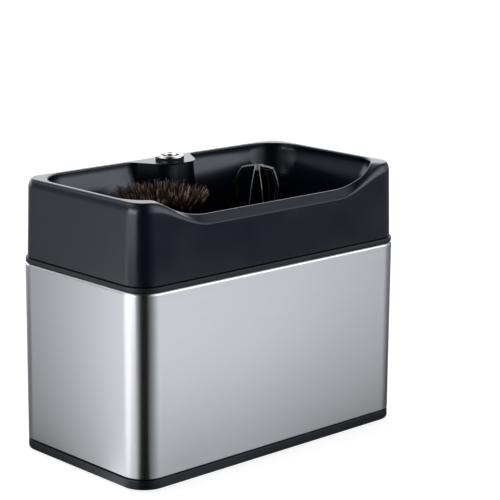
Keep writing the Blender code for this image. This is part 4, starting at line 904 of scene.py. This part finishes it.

# %% [markdown]
# ## Brush
# The brush is four rings of tufts. Each tuft is a bundle of stiff dark bristles that spread from
# its hole in the plate, the outer rings leaning outwards, and no two bristles are the same
# length. On one side they are shorter from wear, and more of their ends are painted pale there as
# a painted highlight on the side the light falls on. More than a thousand thin tapered hairs can't
# be modelled one by one, so one function draws a hair as three short lengths with four sides and a
# loop places them all in one mesh. A value from root to tip and a value for how pale the hair is
# are kept on the mesh for the material.

# %% Bristle material
def bristle_hair():
    """Dark brown horsehair, painted near black at the root as shade among the tufts and pale at the cut tip
    as a painted highlight.
    """
    material, tree, shader = finish("dark_horsehair_bristle", "#1C110C", 0.55)
    shader.inputs["Specular IOR Level"].default_value = 0.12
    along = add(tree, "ShaderNodeAttribute", {"attribute_name": "along"})
    chance = add(tree, "ShaderNodeAttribute", {"attribute_name": "chance"})
    # the ramp runs from painted shade at the root, through the hair's own dark brown, to a painted highlight
    # at the tip
    ramp = add(tree, "ShaderNodeValToRGB", Fac=along.outputs["Fac"])
    marks = ramp.color_ramp.elements
    marks[0].position, marks[0].color = 0.0, linear("#030202")
    marks[1].position, marks[1].color = 1.0, linear("#A48F82")
    middle = marks.new(0.80)
    middle.color = linear("#2C110A")
    pale = add(tree, "ShaderNodeMapRange", Value=chance.outputs["Fac"], To_Min=0.20, To_Max=3.4)
    toned = add(
        tree, "ShaderNodeVectorMath", {"operation": "SCALE"},
        i0=ramp.outputs["Color"], Scale=pale.outputs[0],
    )
    tree.links.new(toned.outputs[0], shader.inputs["Base Color"])
    return material


HAIR = bristle_hair()

# %% Bristles
hair_low, hair_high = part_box("brush_bristles")
ROOT_Z, TIP_Z = hair_low.z, hair_high.z
TIP_R = (hair_high.x - hair_low.x) / 2
HAIR_R = 0.29 * MM
# each ring's radius at the plate, its number of tufts and its radius at the tips; from here on the
# brush's lengths are in mm
RINGS = ((7.2, 8, 12.0), (11.0, 13, 18.0), (15.2, 18, 24.0), (19.0, 23, 29.2))
CLUMPS, HAIRS = 11, 2
TUFT_R, SPREAD = 1.3, 2.6
CLUMP_SCATTER, TURN_SCATTER, HEIGHT_SCATTER = 1.1, 1.3, 2.1
ROOT_SCATTER, TIP_SCATTER, END_SCATTER = 0.25, 0.28, 0.45
TOP_GAP = 2.4
# the crown falls off outside the first radius and inside the second
CROWN_OUTER, CROWN_INNER = 20, 16
# the side where the bristles are shorter from wear and their ends are painted paler, a painted highlight
# where light falls
WORN_AND_LIT_SIDE, WEAR = math.radians(-62), 2.6
PALE_RARITY = 5.5
BRUSH_AXIS = AXIS_X["brush"]
chance = random.Random(12)
points, faces, along_values, chance_values = [], [], [], []


def add_hair(root, tip, bow, value):
    """One tapered hair of three lengths, bowed sideways by bow, with a pointed end."""
    root, tip = Vector(root), Vector(tip)
    way = (tip - root).normalized()
    # any direction that no hair runs along gives the two that span its section
    side = way.cross(Vector((0.3, 0.9, 0.2))).normalized()
    other = way.cross(side)
    first = len(points)
    for k, (share, width) in enumerate(((0, 1.0), (0.4, 0.95), (0.75, 0.8), (1, 0.35))):
        middle = root.lerp(tip, share) + bow * (share * (1 - share) * 4)
        for s, o in ((1, 0), (0, 1), (-1, 0), (0, -1)):
            points.append(middle + (side * s + other * o) * HAIR_R * width)
            along_values.append(share)
            chance_values.append(value)
        if k:
            low, high = first + (k - 1) * 4, first + k * 4
            for i in range(4):
                faces.append((low + i, low + (i + 1) % 4, high + (i + 1) % 4, high + i))
    last = first + 12
    faces.append((last, last + 1, last + 2, last + 3))
    faces.append((first + 3, first + 2, first + 1, first))


def on_brush(radius_mm, angle, z):
    """A point at a radius and an angle round the brush's axis."""
    return (radius_mm * math.cos(angle) * MM + BRUSH_AXIS, radius_mm * math.sin(angle) * MM, z)


for radius_mm, tufts, tip_mm in RINGS:
    for tuft in range(tufts):
        turn = 2 * math.pi * (tuft + chance.uniform(-0.15, 0.15)) / tufts + radius_mm
        lean = tip_mm + chance.uniform(-0.9, 0.7)
        out = Vector((math.cos(turn), math.sin(turn), 0))
        for clump in range(CLUMPS):
            a, r = chance.uniform(0, 2 * math.pi), TUFT_R * math.sqrt(chance.random())
            scatter = chance.gauss(0, CLUMP_SCATTER)
            tip_r = min(lean + SPREAD * r * math.cos(a) + scatter, TIP_R / MM - 0.5)
            tip_a = turn + (SPREAD * r * math.sin(a) + chance.gauss(0, TURN_SCATTER)) / tip_mm
            drop = 0.035 * max(tip_r - CROWN_OUTER, 0) ** 1.2 + 0.45 * max(CROWN_INNER - tip_r, 0)
            tip_z = TIP_Z / MM - TOP_GAP - drop + chance.gauss(0, HEIGHT_SCATTER)
            tip_z = min(tip_z, TIP_Z / MM - 0.2)
            worn_and_lit = 0.5 + 0.5 * math.cos(turn - WORN_AND_LIT_SIDE)
            tip_z -= WEAR * worn_and_lit * chance.random()
            # paleness is random, and raised towards that side as a painted highlight
            tone = chance.random() ** PALE_RARITY * (0.3 + 0.7 * worn_and_lit)
            bow = out * chance.uniform(-0.9, 0.2) * MM
            for _ in range(HAIRS):
                root_r = radius_mm + r * math.cos(a) + chance.gauss(0, ROOT_SCATTER)
                root_a = turn + (r * math.sin(a) + chance.gauss(0, ROOT_SCATTER)) / radius_mm
                end_r = min(tip_r + chance.gauss(0, TIP_SCATTER), TIP_R / MM - 0.3)
                end_a = tip_a + chance.gauss(0, TIP_SCATTER) / tip_mm
                end_z = min(tip_z + chance.gauss(0, END_SCATTER), TIP_Z / MM - 0.1)
                root = on_brush(root_r, root_a, ROOT_Z - 0.4 * MM)
                shade = min(max(tone + chance.gauss(0, 0.04), 0), 1)
                add_hair(root, on_brush(end_r, end_a, end_z * MM), bow, shade)
mesh = bpy.data.meshes.new("bristle_tufts")
mesh.from_pydata(points, [], faces)
for title, values in (("along", along_values), ("chance", chance_values)):
    mesh.attributes.new(title, "FLOAT", "POINT").data.foreach_set("value", values)
tufts = bpy.data.objects.new("bristle_tufts", mesh)
bpy.context.scene.collection.objects.link(tufts)
end(tufts, HAIR, sharp=60, even=False)
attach(tufts, "brush_head")
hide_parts("brush_bristles")

# %% [markdown]
# ## Claw
# The scraper is a claw of **black nitrided steel** with four bent blades, not quite evenly turned
# about its axis. Each blade has a narrow flat shoulder, flares down to a knee and stands on the
# plate on a wide foot. A blade starts as one narrow block at the axis, and each bend is an
# extrusion of its end face that is moved, widened and turned. A narrow bevel then runs along the
# edges, and its faces are marked. The material paints them dull grey as a painted highlight, more
# on one blade than on another.

# %% Claw
claw_low, claw_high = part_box("scraper_claw")
CLAW_TOP, CLAW_FOOT = claw_high.z, claw_low.z
BLADE = 2.2 * MM
# with no window, the rotate operator turns the other way
TURN_WAY = -1
# width of the bevel whose faces carry the painted edge highlight
EDGE_HIGHLIGHT_BEVEL = 0.75 * MM
COLUMN_R, WELL_R, WELL_DEEP = 3.6 * MM, 1.3 * MM, 3.0 * MM
# how far below the top the painted edge highlight starts to change from the shoulder's to the foot's, and
# over what
HIGHLIGHT_FROM, HIGHLIGHT_OVER = 3 * MM, 8 * MM
# each blade's turn in degrees, and how strong the painted highlight on its edges is at the shoulder and at
# the foot
BLADES = ((30, 0.8, 0.1), (124, 0.3, 0.01), (224, 0.85, 0.8), (306, 1.0, 0.2))
# distance from the axis, drop below the top, half width and slope of the blade's middle line
BENDS = (
    (7.0, 0.9, 1.8, 8), (10.4, 1.8, 1.9, 26), (11.4, 3.8, 2.4, 62), (12.9, 7.8, 3.1, 67),
    (14.1, 12.1, 3.8, 72), (14.1, 13.8, 4.0, 98), (13.6, 19.0, 4.5, 94),
    (12.9, (CLAW_TOP - CLAW_FOOT) / MM - 1.1, 5.2, 94),
)


def make_blade(number):
    """One blade: a short block at the axis whose end face is extruded from bend to bend."""
    spot, half, slope = Vector((0, 0, CLAW_TOP - BLADE / 2)), 1.8, 0
    low = (-0.5 * MM, -half * MM, CLAW_TOP - BLADE)
    blade = add_block(f"blade_{number}", low, (0, half * MM, CLAW_TOP))
    pick("FACE", lambda face: face.normal.x > 0.5)
    for out, drop, wide, lean in BENDS:
        there = Vector((out * MM, 0, CLAW_TOP - BLADE / 2 - drop * MM))
        bpy.ops.mesh.extrude_region_move(TRANSFORM_OT_translate={"value": there - spot})
        bpy.ops.transform.resize(value=(1, wide / half, 1), center_override=there)
        turn = math.radians(lean - slope)
        bpy.ops.transform.rotate(value=TURN_WAY * turn, orient_axis="Y", center_override=there)
        spot, half, slope = there, wide, lean
    bpy.ops.object.mode_set(mode="OBJECT")
    # two slots of one material: the bevel's faces go to the second, which marks them
    blade.data.materials.append(BLACKENED)
    blade.data.materials.append(BLACKENED)
    edges = blade.modifiers.new("edges", "BEVEL")
    edges.width = EDGE_HIGHLIGHT_BEVEL
    edges.segments = 1
    edges.angle_limit = math.radians(60)
    edges.material = 1
    bpy.ops.object.modifier_apply(modifier="edges")
    turn = Matrix.Rotation(math.radians(BLADES[number][0]), 4, "Z")
    blade.data.transform(Matrix.Translation((AXIS_X["scraper"], 0, 0)) @ turn)
    return blade


def blackened_steel():
    """Black nitrided steel whose marked edge faces carry a painted highlight: dull grey and more specular.
    """
    material, tree, shader = finish("black_nitrided_steel", "#050506", 0.5)
    edge_highlight = add(tree, "ShaderNodeAttribute", {"attribute_name": "painted_edge_highlight"})
    place = add(tree, "ShaderNodeTexCoord")
    marks = add(tree, "ShaderNodeTexNoise", Vector=place.outputs["Object"], Scale=1 / (0.8 * MM), Detail=3.0)
    grey = add(
        tree, "ShaderNodeMix", {"data_type": "RGBA"},
        Factor=marks.outputs["Fac"], A=linear("#5E6064"), B=linear("#8C8E92"),
    )
    tone = add(
        tree, "ShaderNodeMix", {"data_type": "RGBA"},
        Factor=edge_highlight.outputs["Fac"], A=linear("#050506"), B=grey.outputs[2],
    )
    tree.links.new(tone.outputs[2], shader.inputs["Base Color"])
    gleam = add(tree, "ShaderNodeMapRange", Value=edge_highlight.outputs["Fac"], To_Min=0.06, To_Max=1.0)
    tree.links.new(gleam.outputs[0], shader.inputs["Specular IOR Level"])
    rough = add(tree, "ShaderNodeMapRange", Value=marks.outputs["Fac"], To_Min=0.28, To_Max=0.40)
    tree.links.new(rough.outputs[0], shader.inputs["Roughness"])
    return material


BLACKENED = blackened_steel()
column = add_disc("claw_shell", COLUMN_R, CLAW_FOOT, CLAW_TOP - 0.6 * MM, AXIS_X["scraper"], 0, 40)
bpy.ops.object.mode_set(mode="OBJECT")
column.data.materials.append(BLACKENED)
column.data.materials.append(BLACKENED)
for number in range(len(BLADES)):
    combine(column, make_blade(number), "UNION")
well = add_disc("well", WELL_R, CLAW_TOP - WELL_DEEP, CLAW_TOP + MM, AXIS_X["scraper"], 0, 6)
combine(column, well)
# each bevel face gets a painted highlight, blending from its blade's shoulder strength to its foot strength
mark = column.data.attributes.new("painted_edge_highlight", "FLOAT", "FACE")
for face in column.data.polygons:
    away = face.center - Vector((AXIS_X["scraper"], 0, 0))
    angle = math.degrees(math.atan2(away.y, away.x))
    _, shoulder, foot = min(BLADES, key=lambda blade: abs((angle - blade[0] + 180) % 360 - 180))
    low = min(max((CLAW_TOP - HIGHLIGHT_FROM - face.center.z) / HIGHLIGHT_OVER, 0), 1)
    mark.data[face.index].value = (face.material_index == 1) * (shoulder + (foot - shoulder) * low)
    face.material_index = 0
end(column, BLACKENED)
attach(column, "scraper_head")
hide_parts("scraper_claw")

# %% [markdown]
# ## Power button
# A polished steel switch sits on the pillar: a black gasket, a bezel with a rounded rim and a
# sunk mouth, and a round cap that moves down when it is pressed, with a narrow deep hole in its
# dished middle. Each starts as a disc whose top face is inset and pushed or pulled, step by step,
# and the edges are bevelled.

# %% Polished steel
def polished_steel():
    """Turned and polished steel: nearly a mirror, with faint rings left by the turning tool."""
    material, tree, shader = finish("polished_stainless_steel", "#DCDCDA", 0.14, 1.0)
    place = add(tree, "ShaderNodeTexCoord")
    centred = add(tree, "ShaderNodeMapping", Vector=place.outputs["Object"], Location=(0, -BUTTON_Y, 0))
    rings = add(
        tree, "ShaderNodeTexWave", {"wave_type": "RINGS", "rings_direction": "Z"},
        Vector=centred.outputs[0], Scale=1 / (1.2 * MM), Distortion=0.4,
    )
    gloss = add(tree, "ShaderNodeMapRange", Value=rings.outputs["Fac"], To_Min=0.12, To_Max=0.2)
    tree.links.new(gloss.outputs[0], shader.inputs["Roughness"])
    turned = add(tree, "ShaderNodeBump", Height=rings.outputs["Fac"], Strength=0.1, Distance=0.01 * MM)
    tree.links.new(turned.outputs[0], shader.inputs["Normal"])
    return material


bezel_low, bezel_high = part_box("button_bezel")
cap_low, cap_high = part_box("button_cap")
gasket_low, gasket_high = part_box("button_gasket")
FLANGE_R = (bezel_high.x - bezel_low.x) / 2
CHROME = polished_steel()


def step(height, inset, move):
    """Insets the disc face at a height and moves it up or down; gives its new height."""
    pick("FACE", at_height(height))
    bpy.ops.mesh.inset(thickness=inset)
    bpy.ops.mesh.extrude_region_move(TRANSFORM_OT_translate={"value": (0, 0, move)})
    return height + move


# %% Gasket
gasket = add_disc("gasket_shell", FLANGE_R, gasket_low.z, gasket_high.z, 0, BUTTON_Y, 72)
for z in (gasket_low.z, gasket_high.z):
    pick("EDGE", at_height(z))
    bpy.ops.mesh.bevel(offset=0.5 * MM, segments=3, affect="EDGES")
end(gasket, RUBBER)
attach(gasket, "top_unit")
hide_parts("button_gasket")

# %% Bezel
BEZEL_FLANGE = 1.4 * MM
MOUTH_DEEP, BORE_DEEP, INSIDE_MOUTH = 1.2 * MM, 10.8 * MM, 7 * MM
bezel = add_disc("bezel_shell", FLANGE_R, bezel_high.z - BEZEL_FLANGE, bezel_high.z, 0, BUTTON_Y, 72)
step(bezel_high.z - BEZEL_FLANGE, 1.7 * MM, bezel_low.z - bezel_high.z + BEZEL_FLANGE)
pick("EDGE", at_height(bezel_high.z))
bpy.ops.mesh.bevel(offset=0.9 * MM, segments=4, affect="EDGES")
mouth = step(bezel_high.z, 2.3 * MM, -MOUTH_DEEP)
step(mouth, 0.8 * MM, -BORE_DEEP)


def round_the_mouth(edge):
    """True for an edge of the bezel's top face that goes round its mouth."""
    inside = all(math.hypot(v.co.x, v.co.y - BUTTON_Y) < INSIDE_MOUTH for v in edge.verts)
    return inside and at_height(bezel_high.z)(edge)


pick("EDGE", round_the_mouth)
bpy.ops.mesh.bevel(offset=0.25 * MM, segments=2, affect="EDGES")
end(bezel, CHROME)
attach(bezel, "top_unit")
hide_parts("button_bezel")

# %% Cap
CAP_R = (cap_high.x - cap_low.x) / 2
STEM_R, CAP_ROUND, DISH_R = 2.5 * MM, 0.8 * MM, 2.0 * MM
CAP_HEIGHT = 5.5 * MM
cap_base = cap_high.z - CAP_HEIGHT
cap = add_disc("cap_shell", CAP_R, cap_base, cap_high.z, 0, BUTTON_Y, 64)
step(cap_base, CAP_R - STEM_R, cap_low.z - cap_base)
pick("EDGE", at_height(cap_high.z))
bpy.ops.mesh.bevel(offset=CAP_ROUND, segments=4, affect="EDGES")
dish = step(cap_high.z, CAP_R - CAP_ROUND - DISH_R, -0.5 * MM)
step(dish, 0.4 * MM, -2.6 * MM)
end(cap, CHROME)
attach(cap, "power_button")
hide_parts("button_cap")

# %% [markdown]
# ## DC inlet
# At the back, low on the top unit, a round flange holds the socket for the power lead: a ring
# with a deep bore and a contact pin in its middle.

# %% DC inlet
inlet_low, inlet_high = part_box("dc_inlet")
INLET_R = (inlet_high.x - inlet_low.x) / 2
INLET_Z = (inlet_low.z + inlet_high.z) / 2
INLET_FLANGE, INLET_BARREL_R = 1.0 * MM, 4 * MM
SOCKET_R, SOCKET_DEEP, PIN_LONG = 2.8 * MM, 9.0 * MM, 7.0 * MM
inlet = add_disc("dc_inlet_shell", INLET_R, 0, INLET_FLANGE, 0, 0, 48)
deep = inlet_high.y - inlet_low.y
step(0, INLET_R - INLET_BARREL_R, INLET_FLANGE - deep)
pick("EDGE", at_height(INLET_FLANGE))
bpy.ops.mesh.bevel(offset=0.3 * MM, segments=3, affect="EDGES")
socket_floor = step(INLET_FLANGE, INLET_R - 0.3 * MM - SOCKET_R, -SOCKET_DEEP)
step(socket_floor, 1.8 * MM, PIN_LONG)
bpy.ops.object.mode_set(mode="OBJECT")
back = Matrix.Translation((0, inlet_high.y - INLET_FLANGE, INLET_Z))
inlet.data.transform(back @ Matrix.Rotation(-math.pi / 2, 4, "X"))
end(inlet, NYLON)
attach(inlet, "top_unit")
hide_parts("dc_inlet")

# %% [markdown]
# ## Finishes of the inner pieces
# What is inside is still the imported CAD, dressed by its record's material slots: zinc plated
# screws, oiled bronze bushes, acetal gears, a circuit board, lacquered copper windings.

# %% Inner finishes
def inner_metal(name, colour, roughness, cloud_mm, spread):
    """Metal whose colour and gloss drift in soft clouds, as plating and oil films do."""
    material, tree, shader = finish(name, colour, roughness, 1.0)
    place = add(tree, "ShaderNodeTexCoord")
    cloud = add(
        tree, "ShaderNodeTexNoise",
        Vector=place.outputs["Object"], Scale=1 / (cloud_mm * MM), Detail=4.0,
    )
    gloss = add(
        tree, "ShaderNodeMapRange",
        Value=cloud.outputs["Fac"], To_Min=roughness - spread, To_Max=roughness + spread,
    )
    tree.links.new(gloss.outputs[0], shader.inputs["Roughness"])
    dark = [c * 0.78 for c in linear(colour)[:3]] + [1]
    tone = add(
        tree, "ShaderNodeMix", {"data_type": "RGBA"},
        Factor=cloud.outputs["Fac"], A=dark, B=linear(colour),
    )
    tree.links.new(tone.outputs[2], shader.inputs["Base Color"])
    return material


def copper_winding():
    """Enamelled wire laid side by side round the armature: a 0.5 mm ripple on dark copper."""
    material, tree, shader = finish("enamelled_copper_wire", "#8A4B2A", 0.3, 1.0)
    place = add(tree, "ShaderNodeTexCoord")
    wire = add(
        tree, "ShaderNodeTexWave", {"wave_type": "BANDS", "bands_direction": "Z"},
        Vector=place.outputs["Object"], Scale=1 / (3 * MM), Distortion=0.6,
    )
    tone = add(
        tree, "ShaderNodeMix", {"data_type": "RGBA"},
        Factor=wire.outputs["Fac"], A=linear("#4E2412"), B=linear("#A2603A"),
    )
    tree.links.new(tone.outputs[2], shader.inputs["Base Color"])
    ripple = add(tree, "ShaderNodeBump", Height=wire.outputs["Fac"], Strength=0.6, Distance=0.2 * MM)
    tree.links.new(ripple.outputs[0], shader.inputs["Normal"])
    return material


def circuit_board():
    """Green solder mask over copper tracks, seen as slightly paler lanes 1 mm wide."""
    material, tree, shader = finish("green_solder_mask", "#12452A", 0.35)
    place = add(tree, "ShaderNodeTexCoord")
    lanes = add(
        tree, "ShaderNodeTexVoronoi", {"feature": "DISTANCE_TO_EDGE"},
        Vector=place.outputs["Object"], Scale=1 / (3 * MM),
    )
    track = add(tree, "ShaderNodeMapRange", Value=lanes.outputs["Distance"], From_Min=0.06, From_Max=0.1)
    tone = add(
        tree, "ShaderNodeMix", {"data_type": "RGBA"},
        Factor=track.outputs[0], A=linear("#2B7A4B"), B=linear("#12452A"),
    )
    tree.links.new(tone.outputs[2], shader.inputs["Base Color"])
    raised = add(
        tree, "ShaderNodeBump", {"invert": True},
        Height=track.outputs[0], Strength=0.4, Distance=0.05 * MM,
    )
    tree.links.new(raised.outputs[0], shader.inputs["Normal"])
    return material


SLOT_FINISH = {
    "black_abs": ABS,
    "filled_nylon": NYLON,
    "liner_plastic": LINER,
    "gloss_black": GLOSS,
    "rubber": RUBBER,
    "brushed_stainless": STEEL,
    "polished_stainless": CHROME,
    "bristle": HAIR,
    "plated_steel": inner_metal("zinc_plated_steel", "#B4B6B8", 0.32, 6, 0.06),
    "bronze": inner_metal("oil_filled_sintered_bronze", "#9A7242", 0.42, 1.5, 0.08),
    "copper_winding": copper_winding(),
    "acetal": moulded("white_acetal_moulded", "#D8D5CB", 0.35, grain_mm=0.6),
    "circuit_board": circuit_board(),
}

# %% Dress the carried nodes
dressed = 0
for entry in frame["record"]["subparts"]:
    node = frame["nodes"][entry["node"]]
    node.data.materials.clear()
    node.data.materials.append(SLOT_FINISH[entry["material_slot"]])
    dressed += 1
print(dressed, "carried nodes have a finish")

# %% [markdown]
# ## Spring under the cap
# Four turns of zinc-plated wire hold the cap up. The wire's round section is swept up a screw.
# The cap squeezes the coil by 1.5 mm when it is pressed.

# %% Spring
WIRE, TURNS, PRESS = 0.4 * MM, 4, 1.5 * MM
spring_low, spring_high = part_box("button_spring")
length = spring_high.z - spring_low.z
coil_r = (spring_high.x - spring_low.x) / 2 - WIRE
bpy.ops.object.select_all(action="DESELECT")
bpy.ops.mesh.primitive_circle_add(
    radius=WIRE, vertices=10, fill_type="NGON",
    location=(coil_r, 0, 0), rotation=(math.pi / 2, 0, 0),
)
spring = start("spring_shell")
bpy.ops.object.mode_set(mode="OBJECT")
coil = spring.modifiers.new("coil", "SCREW")
coil.axis = "Z"
coil.iterations = TURNS
coil.screw_offset = (length - 2 * WIRE) / TURNS
coil.steps = coil.render_steps = 28
bpy.ops.object.modifier_apply(modifier="coil")
bpy.ops.object.mode_set(mode="EDIT")
bpy.ops.mesh.select_all(action="SELECT")
bpy.ops.transform.translate(value=(0, BUTTON_Y, spring_low.z + WIRE))
bpy.ops.mesh.normals_make_consistent(inside=False)
end(spring, SLOT_FINISH["plated_steel"])
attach(spring, "top_unit")
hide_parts("button_spring")
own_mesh(spring)
print("spring", length, "m long, keeps", 1 - PRESS / length)
